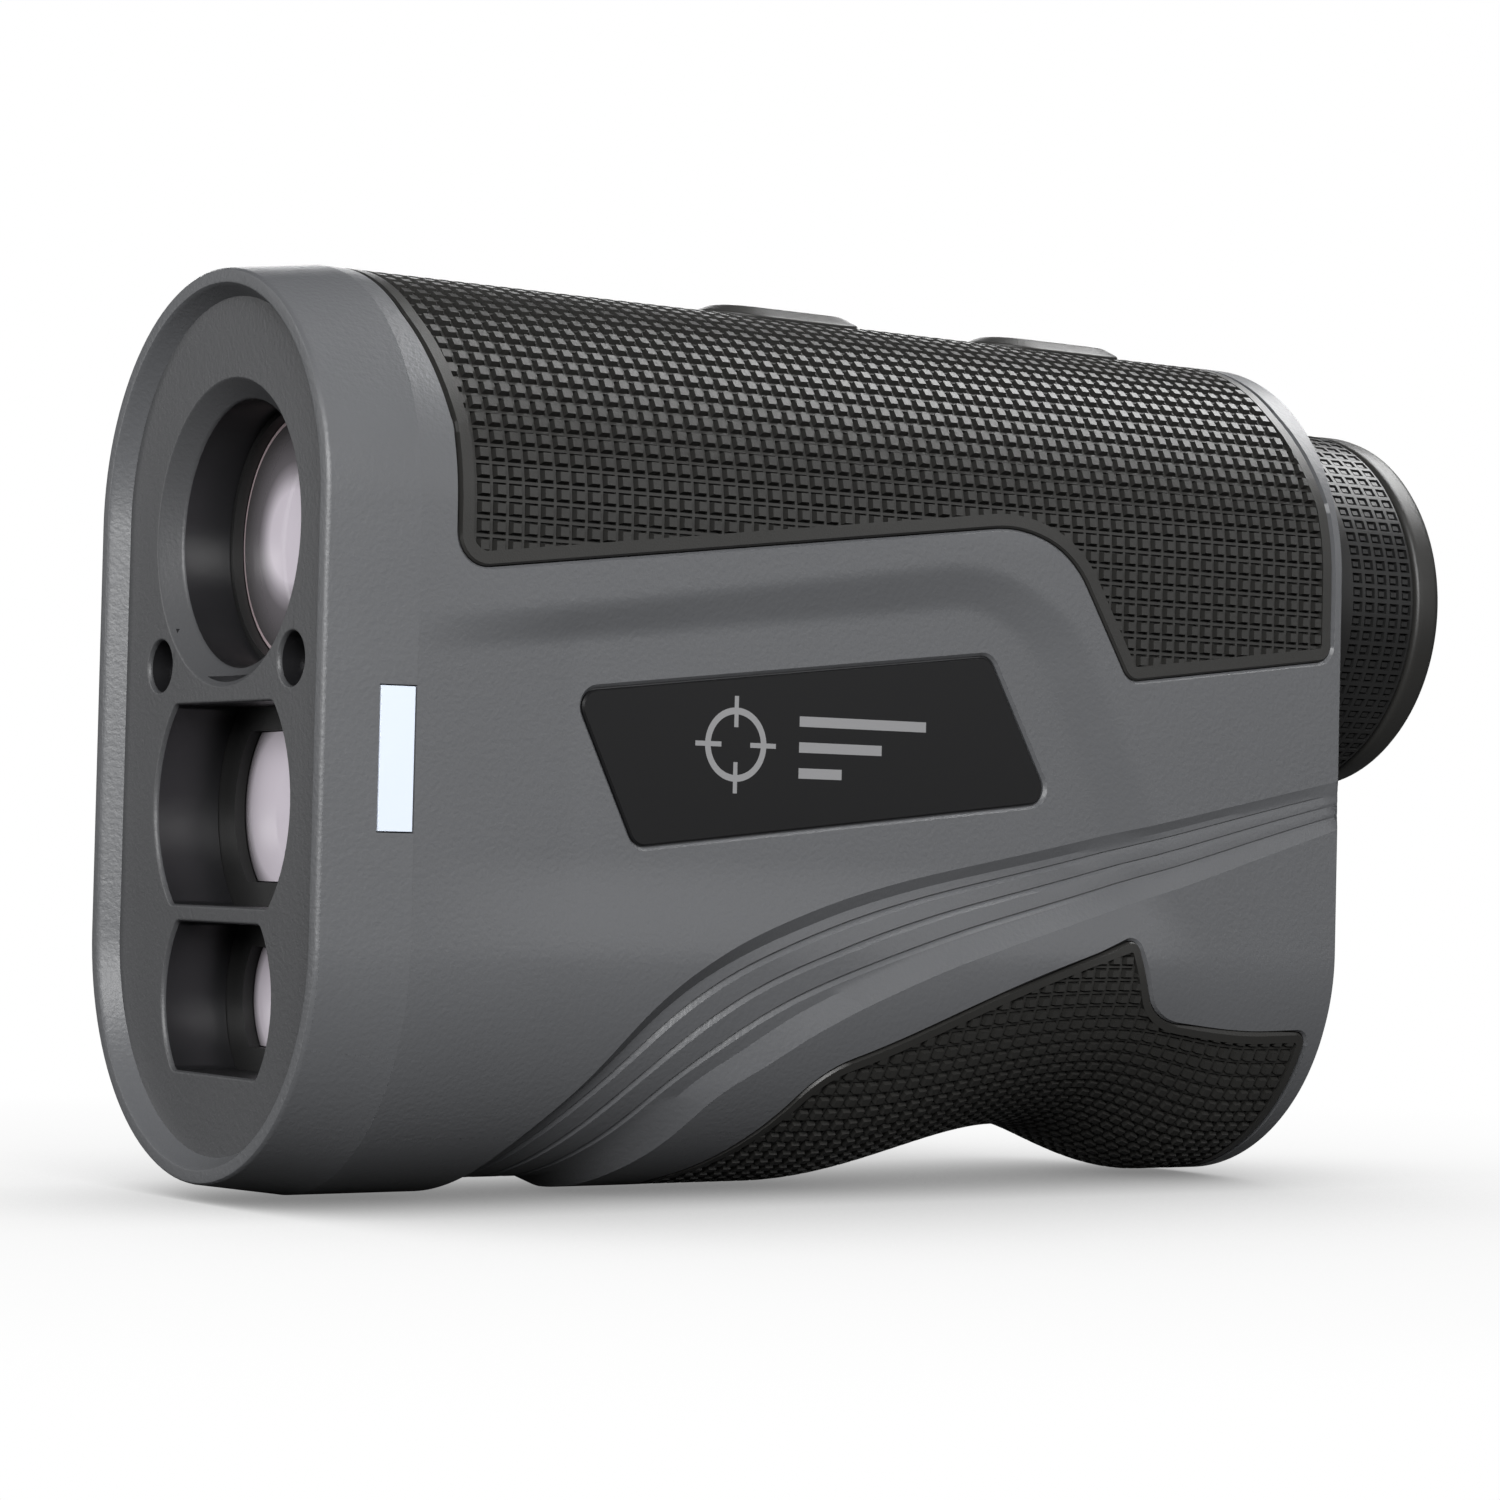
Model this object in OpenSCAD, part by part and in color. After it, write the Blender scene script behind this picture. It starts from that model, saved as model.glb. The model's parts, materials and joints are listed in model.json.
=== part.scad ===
// Handheld 6x21 laser rangefinder.
// Frame: +X to the right, +Y from the nose to the eyepiece, +Z up, base at Z = 0.
// A "station" is a distance behind the front rim, along +Y.

/* [Body] */
// Width of the body across its flat sides
body_w = 40.6; // [38:0.2:50]
// Height of the body
body_h = 74; // [72:0.5:92]
// Length from the front rim to the face of the rear cover
body_l = 103.5; // [98:0.5:130]
// Wall of the shells
wall = 2.4; // [2:0.1:3]
// How much smaller the nose is than the body, on every side
flare = 1; // [0.4:0.1:1.6]
// Length of the flared nose
flare_l = 7.6; // [7.5:0.1:9]
// Chamfer round the rear edge of the shells
rear_chamfer = 0.9; // [0.4:0.1:1.2]
// How far the rear cover stands behind the shells
rear_step = 0.9; // [0.4:0.1:1.2]

/* [Finger valley] */
// Depth of the valley under the body
valley_h = 4.4; // [2:0.2:5]
// Distance of the deepest point from the rear cover face
valley_from_rear = 25.5; // [22:0.5:30]
// Length of the slope in front of the deepest point
valley_front_l = 27; // [20:1:32]
// Length of the slope behind the deepest point
valley_rear_l = 17; // [12:1:20]

/* [Front panel] */
// Width of the rim's front edge
rim_w = 1.2; // [0.8:0.1:1.6]
// Depth of the panel face behind the rim
panel_depth = 2.2; // [1.5:0.1:3]
// How far the recess narrows on its way to the panel
rim_taper = 1.2; // [0.6:0.1:1.5]
// Lip of the rim over the panel's edge
lip = 0.5; // [0.3:0.1:0.8]
// Thickness of the panel
panel_t = 2; // [1.5:0.1:3]
// Depth of the three tunnels behind the panel face
tunnel_l = 5.2; // [4:0.1:6]
// Distance of each panel screw from the middle
panel_screw_x = 11.2; // [10.5:0.1:12]
// Panel screws below the optical axis
panel_screw_drop = 10.3; // [10:0.1:11]

/* [Sighting optics] */
// Top of the body to the optical axis
axis_drop = 21.7; // [20:0.1:24]
// Radius of the objective bore
objective_r = 10.65; // [9:0.05:11]
// Chamfer of the objective mouth
objective_chamfer = 1.5; // [0.8:0.1:1.8]
// Wall of the objective barrel
barrel_wall = 1.4; // [1:0.1:1.6]
// Half size of the prism carrier
carrier_half = 12.5; // [11:0.1:12.8]
// Length of the prism carrier
carrier_l = 23; // [21:0.5:26]
// Half size of the prisms
prism_half = 8; // [6:0.5:9]

/* [Laser windows] */
// Radius of the receiver window
receiver_r = 11.5; // [10:0.1:12]
// Half height of the receiver window, between its flats
receiver_flat = 8; // [6:0.1:8.2]
// Optical axis to the middle of the receiver window
receiver_drop = 21.5; // [21.4:0.1:22]
// Radius of the emitter window
emitter_r = 9.25; // [8:0.1:10]
// Half height of the emitter window, between its flats
emitter_flat = 5.95; // [4.5:0.05:6]
// Receiver window to the middle of the emitter window
emitter_drop = 15.3; // [15.2:0.1:16]
// Edge of a window outside its lens
lens_margin = 1.9; // [1.2:0.1:2.5]
// Length of the receiver tube
receiver_tube_l = 31; // [24:0.5:34]
// Length of the emitter tube
emitter_tube_l = 24; // [18:0.5:28]

/* [Grips and plates] */
// Thickness of the rubber grips
grip_t = 1.2; // [0.8:0.1:1.4]
// Upper grip's front edge behind the rim
upper_grip_front = 11; // [10:0.5:14]
// Upper grip's front lower corner above the base
upper_grip_low = 49; // [47:0.5:52]
// Strip of housing between the grips and the rear cover face
grip_rear_gap = 2.8; // [2:0.1:5]
// Lower grip's front tip behind the rim
lower_grip_front = 39.5; // [38:0.5:44]
// Nameplate's thickness
badge_t = 0.5; // [0.3:0.1:0.8]
// How deep the nameplate lies under the side
badge_sink = 0.15; // [0.05:0.05:0.3]
// Indicator window's length along the nose
indicator_l = 3; // [2:0.1:4]
// Indicator window's height
indicator_h = 11.2; // [8:0.2:14]
// Indicator window's depth
indicator_t = 1; // [0.6:0.1:1.2]
// Middle of the indicator window above the receiver's axis
indicator_rise = 3.6; // [2:0.2:6]

/* [Buttons] */
// Button length
button_l = 16; // [12:0.5:18]
// Button width
button_w = 9.6; // [8:0.2:10.4]
// How far a button stands above the body
button_proud = 0.8; // [0.5:0.1:1.2]
// Button travel
button_travel = 0.5; // [0.3:0.05:0.6]
// Middle of the power button ahead of the rear cover face
power_from_rear = 50; // [46:0.5:54]
// Distance between the buttons' middles
button_pitch = 29.3; // [24:0.1:34]
// Side of a switch body
switch_w = 5; // [4:0.1:6]
// Height of a switch body
switch_h = 1.8; // [1.5:0.1:2]
// Thickness of the circuit boards
board_t = 1; // [0.8:0.1:1.2]

/* [Eyepiece] */
// Radius of the diopter ring
ring_r = 16.6; // [15.5:0.1:17]
// Length of the diopter ring
ring_l = 10.5; // [9:0.5:12]
// How far the eyecup stands behind the rear cover face
eyepiece_out = 14.2; // [14:0.2:16]
// Outer radius of the eyepiece tube
eyepiece_tube_r = 13; // [12:0.1:13.4]
// Outer radius of the sliding lens cell
cell_r = 11; // [10:0.1:11.4]
// Length of the sliding lens cell
cell_l = 18; // [15:0.5:19]
// Travel of the lens cell each way
focus_travel = 1.25; // [0.8:0.05:1.5]
// Radius of the focus pin
focus_pin_r = 1; // [0.8:0.1:1.2]

/* [Battery] */
// Battery radius
battery_r = 7.8; // [7:0.1:8.5]
// Battery length
battery_l = 27; // [24:0.5:30]
// Battery axis above the base
battery_z = 18.5; // [18:0.5:22]
// Radius of the battery cap
cap_r = 11; // [10.5:0.1:11.4]
// Thickness of the battery cap's head
cap_t = 2; // [1.6:0.1:3]
// Thickness of the cap's seal
seal_t = 0.6; // [0.4:0.1:1]
// Travel of the cap over its quick thread
cap_travel = 2.25; // [1:0.25:3]

/* [Lanyard lug] */
// Radius of the lanyard hole
lug_hole_r = 1.6; // [1.2:0.1:2]
// Wall of the lug round its hole
lug_wall = 1.4; // [1:0.1:1.8]
// Height of the lug, along its hole
lug_h = 4; // [3:0.5:6]
// Lug's middle to the left of the middle of the body
lug_x = 14.4; // [14:0.1:15]
// Lug's middle above the battery axis
lug_rise = 4; // [2:0.5:6]

/* [Fits] */
// Gap between parts that are assembled and stay put
fit = 0.1; // [0.05:0.05:0.2]
// Radial clearance of parts that turn or slide on each other
running = 0.06; // [0.03:0.01:0.1]
// Gap between parts that pass each other freely
free_gap = 0.3; // [0.2:0.05:0.5]

/* [Hidden] */
$fn = 96;
eps = 0.01;

housing_grey = [0.30, 0.31, 0.33];
panel_grey = [0.25, 0.26, 0.28];
rubber_black = [0.12, 0.12, 0.12];
trim_black = [0.05, 0.05, 0.06];
glass_tint = [0.72, 0.70, 0.80, 0.5];
steel = [0.62, 0.63, 0.65];
board_green = [0.05, 0.32, 0.18];

// Section of the body: a slot with round ends, whose centres stay put at every station
body_r = body_w / 2;
low_z = body_r;
high_z = body_h - body_r;
nose_y = -(body_l + eyepiece_out) / 2;
shell_end = body_l - rear_step;
inner_r = body_r - wall;

// Front stations and radii
mouth_r = body_r - flare - rim_w;
panel_seen_r = mouth_r - rim_taper;
panel_r = panel_seen_r + lip;
tunnel_end = panel_depth + tunnel_l;
chassis_end = flare_l + 2;
lens_face = tunnel_end + 0.9;

// Heights of the optical axes
axis_z = body_h - axis_drop;
receiver_z = axis_z - receiver_drop;
emitter_z = receiver_z - emitter_drop;
panel_screw_z = axis_z - panel_screw_drop;
panel_screw_head_r = 1.9;
panel_screw_shank_r = 1;
panel_screw_recess = 3.3;
panel_screw_head_t = 1.5;
panel_screw_seat = panel_depth + panel_screw_recess;
tube_edge = 0.4;
tube_wall = 1;
laser_lens_t = 3;
laser_rim = 0.8;
laser_curve_r = 26;
laser_can_l = 3;
receiver_seat_r = 3;
emitter_seat_r = 2.4;

// Objective group
lens_r = objective_r + 0.75;
barrel_bore_r = objective_r - 0.1;
barrel_r = lens_r + barrel_wall;
retainer_bore_r = objective_r - 0.45;
crown_t = 3.2;
flint_t = 1.6;
lens_seat = lens_face + crown_t + flint_t;
crown_curve_r = 46;

// Rear stations
cover_t = 4;
cover_inner = body_l - cover_t;
cover_r = inner_r - fit;
tube_front = body_l - 15.5;
tube_rear = body_l + 10.5;
flange_r = 15.5;
flange_t = 2;
carrier_end = tube_front - 0.2;
carrier_start = carrier_end - carrier_l;
prism_start = carrier_start + 3;
prism_gap = 0.3;
prism_cut = 4;

// Eyepiece stations
ring_start = body_l + 0.6;
ring_end = ring_start + ring_l;
eyecup_end = body_l + eyepiece_out;
ring_bore_r = eyepiece_tube_r + running;
counterbore_r = eyepiece_tube_r + 1.6;
counterbore_l = 2;
cell_end = tube_rear - 3.5;
cell_start = cell_end - cell_l;
cell_bore_r = cell_r - 1.5;
focus_pin_d = ring_start + 3.9;
cam_r = eyepiece_tube_r + 1.5;
cam_half = focus_pin_r + focus_travel + free_gap;
eye_lens_t = 4;
eye_curve_r = 40;

// Battery stations
cap_head_start = body_l + seal_t + 0.1;
cap_head_end = cap_head_start + cap_t;
cap_plug_r = battery_r + 1.5;
contact_r = 6;
contact_seat = 1.5;
coin_slot_l = 14;
coin_slot_w = 1.8;
coin_slot_depth = 1.3;
cap_plug_start = cover_inner + 0.1;
battery_end = cap_plug_start - 0.45;
battery_start = battery_end - battery_l;
spring_gap = 1.8;
sleeve_wall = 1;
sleeve_r = battery_r + free_gap + sleeve_wall;
sleeve_start = battery_start - spring_gap - sleeve_wall;

// Buttons and their board
key_core_r = 1.5;
key_core_l = 0.5;
power_d = body_l - power_from_rear;
mode_d = power_d + button_pitch;
pad_top_r = body_r + button_proud;
key_flange_w = button_w + 1;
key_flange_t = 0.7;
key_flange_top = high_z + sqrt(pow(inner_r, 2) - pow(key_flange_w / 2, 2)) - free_gap;
key_flange_bottom = key_flange_top - key_flange_t;
plunger_h = 0.8;
switch_top = key_flange_bottom - key_core_l - plunger_h;
button_board_z = switch_top - switch_h - board_t;
plunger_r = 1.3;

// Main board, on edge at the left of the body
main_board_x = 12.6;
main_board_start = tunnel_end + receiver_tube_l + 6;
main_board_end = sleeve_start - 1.5;
main_board_low = emitter_z - 3;
main_board_high = axis_z - barrel_r - 2;

// Screws that close the shells, hidden under the grips: station and height
shell_screw_spots = [
    [upper_grip_front + 10, body_h - 6],
    [body_l - 9.7, body_h - 5.4],
    [lower_grip_front + 5.5, 5.2],
    [body_l - 6.8, 5.2]
];
boss_r = 2;
screw_head_r = 1.5;
screw_shank_r = 0.8;
cover_screw_spots = [[14.5, 34], [12.4, 10.8]];
cover_screw_sink = 1.4;
shell_screw_sink = 3.8;
shell_screw_head_t = 1.2;
shell_screw_end = 5.8;

// Side outlines: station and height of each corner
upper_outline = [
    [upper_grip_front - 1.4, body_h + 2],
    [upper_grip_front - 1.4, body_h - 5],
    [upper_grip_front, body_h - 14],
    [upper_grip_front, upper_grip_low],
    [body_l - 38.2, upper_grip_low + 6.9],
    [body_l - 32.4, upper_grip_low + 5],
    [body_l - 26, upper_grip_low - 5.6],
    [body_l - grip_rear_gap, upper_grip_low - 2.7],
    [body_l - grip_rear_gap, body_h - 14],
    [body_l - grip_rear_gap - 1.4, body_h - 5],
    [body_l - grip_rear_gap - 1.4, body_h + 2]
];
upper_corner_radii = [0, 3, 3, 2.5, 6, 6, 1.6, 1.6, 3, 3, 0];
lower_outline = [
    [lower_grip_front, -1],
    [lower_grip_front, 0.8],
    [lower_grip_front + 8.5, 10.2],
    [body_l - 38, 16.9],
    [body_l - 24.4, 21.6],
    [body_l - 21.6, 14.3],
    [body_l - grip_rear_gap - 0.8, 13.3],
    [body_l - grip_rear_gap, -1]
];
lower_corner_radii = [0, 2, 8, 12, 0.6, 4, 1, 0];
badge_outline = [
    [22.2, 40.3],
    [body_l - 40.3, 45],
    [body_l - 33.4, 32.8],
    [28.2, 28.1]
];
badge_corner_r = 1.5;

// Points of a polygon whose corners are rounded: each corner becomes an arc
function unit(v) = v / norm(v);
function corner_arc(before, at, after, r, steps = 5) =
    r == 0 ? [at] :
    let (
        u = unit(before - at),
        w = unit(after - at),
        half = acos(min(1, max(-1, u * w))) / 2,
        centre = at + unit(u + w) * r / sin(half),
        from = at + u * r / tan(half) - centre,
        to = at + w * r / tan(half) - centre,
        a0 = atan2(from[1], from[0]),
        sweep = atan2(from[0] * to[1] - from[1] * to[0], from * to)
    )
    [for (i = [0 : steps]) centre + r * [cos(a0 + sweep * i / steps), sin(a0 + sweep * i / steps)]];
function rounded(points, radii) =
    let (n = len(points))
    [for (i = [0 : n - 1])
        for (p = corner_arc(points[(i + n - 1) % n], points[i], points[(i + 1) % n], radii[i])) p];

// Height of the body's underside at a station
function valley(d) =
    let (
        from_deepest = d - (body_l - valley_from_rear),
        reach = from_deepest < 0 ? valley_front_l : valley_rear_l
    )
    abs(from_deepest) >= reach ? 0 : valley_h * (1 + cos(180 * from_deepest / reach)) / 2;

module along_y(d) {
    translate([0, nose_y + d, 0]) rotate([-90, 0, 0]) children();
}

// Cylinder or cone along the body, from station d0 to d1, at a height
module round_y(d0, d1, r0, r1 = 0, x = 0, z = axis_z) {
    translate([x, 0, z]) along_y(d0) cylinder(h = d1 - d0, r1 = r0, r2 = r1 == 0 ? r0 : r1);
}

module ring_y(d0, d1, r_out, r_in, x = 0, z = axis_z) {
    difference() {
        round_y(d0, d1, r_out, x = x, z = z);
        round_y(d0 - 1, d1 + 1, r_in, x = x, z = z);
    }
}

// Body section of radius r0 at station d0, running evenly to r1 at d1
module slot_prism(d0, d1, r0, r1 = 0) {
    r2 = r1 == 0 ? r0 : r1;
    for (z = [low_z, high_z]) round_y(d0, d1, r0, r2, z = z);
    translate([0, nose_y, low_z])
        linear_extrude(high_z - low_z)
            polygon([[-r0, d0], [r0, d0], [r2, d1], [-r2, d1]]);
}

// Round window with two flats, along the body
module window_prism(d0, d1, r0, r1, flat0, flat1, z) {
    intersection() {
        round_y(d0, d1, r0, r1, z = z);
        translate([-body_w, nose_y, z])
            rotate([0, 90, 0]) rotate([0, 0, 90])
                linear_extrude(2 * body_w)
                    polygon([[d0, flat0], [d1, flat1], [d1, -flat1], [d0, -flat0]]);
    }
}

// Side outline in station and height, run through the body from x0 to x1
module side_prism(points, x0, x1) {
    translate([x0, nose_y, 0]) rotate([90, 0, 90]) linear_extrude(x1 - x0) polygon(points);
}

// The closed shape of the body behind the nose, shrunk by inset
module body_core(inset, d0, d1) {
    steps = 20;
    first = body_l - valley_from_rear - valley_front_l;
    span = valley_front_l + valley_rear_l;
    difference() {
        slot_prism(d0, d1, body_r - inset);
        side_prism(concat(
            [[first, inset - 8]],
            [for (i = [0 : steps]) let (d = first + span * i / steps) [d, valley(d) + inset - eps]],
            [[first + span, inset - 8]]
        ), -body_w, body_w);
    }
}

module body_outside() {
    intersection() {
        body_core(0, flare_l, shell_end);
        union() {
            slot_prism(flare_l - 1, shell_end - rear_chamfer, body_r + 1);
            slot_prism(shell_end - rear_chamfer - eps, shell_end, body_r + eps, body_r - rear_chamfer);
        }
    }
}

// Oval hole or pad for a button
module button_oval(d, length, width, z0, z1) {
    half = (length - width) / 2;
    translate([0, nose_y + d, z0]) {
        for (s = [-1, 1]) translate([0, s * half, 0]) cylinder(h = z1 - z0, r = width / 2);
        translate([-width / 2, -half, 0]) cube([width, 2 * half, z1 - z0]);
    }
}

module button_holes(gap) {
    for (d = [power_d, mode_d])
        button_oval(d, button_l + 2 * gap, button_w + 2 * gap, high_z, body_h + 3);
}

module badge_prism(x0, x1, grow) {
    side_prism(rounded(
        [for (i = [0 : 3]) let (
            p = badge_outline[i],
            side = i == 0 || i == 3 ? -1 : 1,
            level = i < 2 ? 1 : -1
        ) p + grow * [side, level]],
        [for (i = [0 : 3]) badge_corner_r + grow]), x0, x1);
}

// Place of the indicator window on one side of the nose, just ahead of the shells
module indicator_box(side, grow) {
    depth = 1 + flare + indicator_t + grow;
    translate([side * (body_r + 1), nose_y + flare_l - indicator_l / 2, receiver_z + indicator_rise])
        cube([2 * depth, indicator_l + 2 * grow, indicator_h + 2 * grow], center = true);
}

// Housing ---------------------------------------------------------------

module nose_outside() {
    slot_prism(0, flare_l, body_r - flare, body_r);
}

module front_bezel() {
    color(housing_grey)
    difference() {
        nose_outside();
        slot_prism(-eps, panel_depth, mouth_r + eps, panel_seen_r);
        slot_prism(panel_depth - eps, flare_l + 1, panel_r + fit);
        for (side = [-1, 1]) indicator_box(side, fit / 2);
    }
}

module indicator(side) {
    color("aliceblue")
    intersection() {
        nose_outside();
        indicator_box(side, -fit / 2);
    }
}

module front_panel() {
    collar = 1.2;
    color(panel_grey)
    difference() {
        union() {
            slot_prism(panel_depth, panel_depth + panel_t, panel_r);
            intersection() {
                slot_prism(panel_depth, tunnel_end, panel_r);
                union() {
                    round_y(panel_depth, tunnel_end, objective_r + objective_chamfer + collar);
                    window_prism(panel_depth, tunnel_end, receiver_r + collar, receiver_r + collar,
                        receiver_flat + collar, receiver_flat + collar, receiver_z);
                    window_prism(panel_depth, tunnel_end, emitter_r + collar, emitter_r + collar,
                        emitter_flat + collar, emitter_flat + collar, emitter_z);
                    for (s = [-1, 1])
                        round_y(panel_depth, tunnel_end, 3, x = s * panel_screw_x, z = panel_screw_z);
                }
            }
        }
        round_y(panel_depth - eps, panel_depth + objective_chamfer,
            objective_r + objective_chamfer + eps, objective_r);
        round_y(panel_depth, tunnel_end + 1, objective_r);
        window_prism(panel_depth - 1, tunnel_end + 1, receiver_r, receiver_r,
            receiver_flat, receiver_flat, receiver_z);
        window_prism(panel_depth - 1, tunnel_end + 1, emitter_r, emitter_r,
            emitter_flat, emitter_flat, emitter_z);
        for (s = [-1, 1]) {
            round_y(panel_depth - 1, panel_screw_seat, panel_screw_head_r + 0.2,
                x = s * panel_screw_x, z = panel_screw_z);
            round_y(panel_depth, tunnel_end + 1, panel_screw_shank_r + fit,
                x = s * panel_screw_x, z = panel_screw_z);
        }
    }
}

module front_chassis() {
    color("dimgray")
    difference() {
        union() {
            slot_prism(tunnel_end, flare_l, panel_r);
            slot_prism(flare_l, chassis_end, min(panel_r + 0.4, inner_r - fit));
        }
        round_y(tunnel_end - 1, chassis_end + 1, barrel_r + fit);
        window_prism(tunnel_end - 1, chassis_end + 1, receiver_r + tube_edge + fit,
            receiver_r + tube_edge + fit, receiver_flat + tube_edge + fit,
            receiver_flat + tube_edge + fit, receiver_z);
        window_prism(tunnel_end - 1, chassis_end + 1, emitter_r + tube_edge + fit,
            emitter_r + tube_edge + fit, emitter_flat + tube_edge + fit,
            emitter_flat + tube_edge + fit, emitter_z);
        for (s = [-1, 1])
            round_y(tunnel_end - 1, chassis_end + 1, panel_screw_shank_r,
                x = s * panel_screw_x, z = panel_screw_z);
    }
}

module side_half(side) {
    translate([side > 0 ? 0 : -body_w, nose_y, -1]) cube([body_w, body_l, body_h + 2]);
}

module cross_cylinder(spot, r, x0, x1) {
    translate([x0, nose_y + spot[0], spot[1]]) rotate([0, 90, 0]) cylinder(h = x1 - x0, r = r);
}

// Space that a grip takes out of the shells
module grip_space(outline, radii) {
    difference() {
        side_prism(rounded(outline, radii), -body_w, body_w);
        body_core(grip_t, flare_l - 1, shell_end + 1);
    }
}

// Half width of the body at a height, less an inset
function half_width(z, inset) =
    let (rise = z < low_z ? low_z - z : z > high_z ? z - high_z : 0)
    sqrt(pow(body_r - inset, 2) - pow(rise, 2));

// One half of the housing: side is -1 for the left and 1 for the right
module shell(side) {
    color(housing_grey)
    difference() {
        union() {
            intersection() {
                difference() {
                    body_outside();
                    body_core(wall, flare_l - 1, shell_end + 1);
                }
                side_half(side);
            }
            for (p = shell_screw_spots)
                cross_cylinder(p, boss_r,
                    side > 0 ? 0 : -half_width(p[1] + boss_r, grip_t + 0.3),
                    side > 0 ? half_width(p[1] + boss_r, grip_t + 0.3) : 0);
        }
        grip_space(upper_outline, upper_corner_radii);
        grip_space(lower_outline, lower_corner_radii);
        badge_prism(side > 0 ? body_r - badge_t : -body_r - 1, side > 0 ? body_r + 1 : badge_t - body_r, 0);
        button_holes(free_gap);
        for (p = shell_screw_spots) {
            cross_cylinder(p, screw_shank_r + (side < 0 ? fit : 0), -body_w, shell_screw_end + 0.2);
            if (side < 0)
                cross_cylinder(p, screw_head_r + fit, -body_w, screw_seat_x(p));
        }
    }
}

// Where a shell screw's head rests, a little inside the grip's underside
function screw_seat_x(p) = shell_screw_sink - half_width(p[1], grip_t);

module left_shell() {
    shell(-1);
}

module right_shell() {
    shell(1);
}

module rear_cover() {
    lug_z = battery_z + lug_rise;
    lug_r = lug_hole_r + lug_wall;
    color(housing_grey)
    difference() {
        union() {
            slot_prism(cover_inner, body_l - 0.4, cover_r);
            slot_prism(body_l - 0.4, body_l, cover_r, cover_r - 0.4);
            translate([-lug_x - lug_r, nose_y + body_l - 1, lug_z - lug_h / 2])
                cube([2 * lug_r, lug_r + 1, lug_h]);
            translate([-lug_x, nose_y + body_l + lug_r, lug_z - lug_h / 2]) cylinder(h = lug_h, r = lug_r);
        }
        round_y(cover_inner - 1, body_l + 1, eyepiece_tube_r + fit);
        round_y(cover_inner - 1, body_l + 1, cap_plug_r + running, z = battery_z);
        translate([-lug_x, nose_y + body_l + lug_r, lug_z - lug_h]) cylinder(h = 2 * lug_h, r = lug_hole_r);
        for (p = cover_screw_spots, s = [-1, 1]) {
            round_y(cover_inner - 1, body_l + 1, screw_shank_r + fit, x = s * p[0], z = p[1]);
            round_y(body_l - cover_screw_sink, body_l + 1, screw_head_r, x = s * p[0], z = p[1]);
        }
    }
}

module grip(outline, radii) {
    color(rubber_black)
    difference() {
        intersection() {
            body_outside();
            side_prism(rounded(outline, radii), -body_w, body_w);
        }
        body_core(grip_t, flare_l - 1, shell_end + 1);
        button_holes(free_gap);
    }
}

module upper_grip() {
    grip(upper_outline, upper_corner_radii);
}

module lower_grip() {
    grip(lower_outline, lower_corner_radii);
}

module badge(side) {
    color(trim_black)
    badge_prism(side > 0 ? body_r - badge_t : badge_sink - body_r,
        side > 0 ? body_r - badge_sink : badge_t - body_r, -0.1);
}

module left_badge() {
    badge(-1);
}

module right_badge() {
    badge(1);
}

module left_indicator() {
    indicator(-1);
}

module right_indicator() {
    indicator(1);
}

// Sighting optics ---------------------------------------------------------

// Disc of radius r whose front or rear face bulges as part of a sphere
module bulged_disc(d0, d1, r, curve_r, front = true, z = axis_z) {
    sag = curve_r - sqrt(pow(curve_r, 2) - pow(r, 2));
    intersection() {
        round_y(front ? d0 - sag : d0, front ? d1 : d1 + sag, r, z = z);
        translate([0, nose_y + (front ? d0 - sag + curve_r : d1 + sag - curve_r), z])
            sphere(r = curve_r);
    }
}

// Front lens: its bulge passes through the retainer, its rim sits behind it
module objective_crown() {
    seat = lens_face + 0.02;
    color(glass_tint)
    intersection() {
        bulged_disc(seat, lens_face + crown_t, lens_r - fit, crown_curve_r);
        union() {
            round_y(0, seat + 0.5, retainer_bore_r - fit);
            round_y(seat, seat + crown_t, lens_r);
        }
    }
}

module objective_flint() {
    color(glass_tint)
    round_y(lens_face + crown_t, lens_seat, lens_r - fit);
}

module objective_retainer() {
    color(trim_black)
    ring_y(tunnel_end, lens_face, lens_r, retainer_bore_r);
}

module objective_barrel() {
    color(trim_black)
    difference() {
        round_y(tunnel_end, carrier_start, barrel_r);
        round_y(tunnel_end - 1, lens_seat, lens_r);
        round_y(lens_seat - eps, carrier_start + 1, barrel_bore_r, prism_half);
    }
}

module prism_carrier() {
    carrier_wall = 1.4;
    inside = carrier_half - carrier_wall;
    color("dimgray")
    difference() {
        translate([-carrier_half, nose_y + carrier_start, axis_z - carrier_half])
            cube([2 * carrier_half, carrier_l, 2 * carrier_half]);
        translate([-inside, nose_y + carrier_start + carrier_wall, axis_z - inside])
            cube([2 * inside, carrier_l - 2 * carrier_wall, 2 * inside]);
        round_y(carrier_start - 1, carrier_end + 1, prism_half);
    }
}

// Prism with its side outline given from the carrier's start
module prism(points) {
    color(glass_tint)
    side_prism([for (p = points) [prism_start + p[0], axis_z + p[1]]], -prism_half, prism_half);
}

module prism_front() {
    prism([[0, -prism_half], [0, prism_half], [prism_cut, prism_half],
        [prism_cut + 0.8 * prism_half, -prism_half]]);
}

module prism_rear() {
    from = prism_cut + prism_gap;
    depth = carrier_l - 6;
    prism([[from, prism_half], [depth, prism_half], [depth, -prism_half],
        [from + 0.8 * prism_half, -prism_half]]);
}

module display_glass() {
    color(glass_tint)
    round_y(tube_front + 0.6, tube_front + 1.8, cell_r - fit);
}

// Eyepiece ---------------------------------------------------------------

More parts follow.
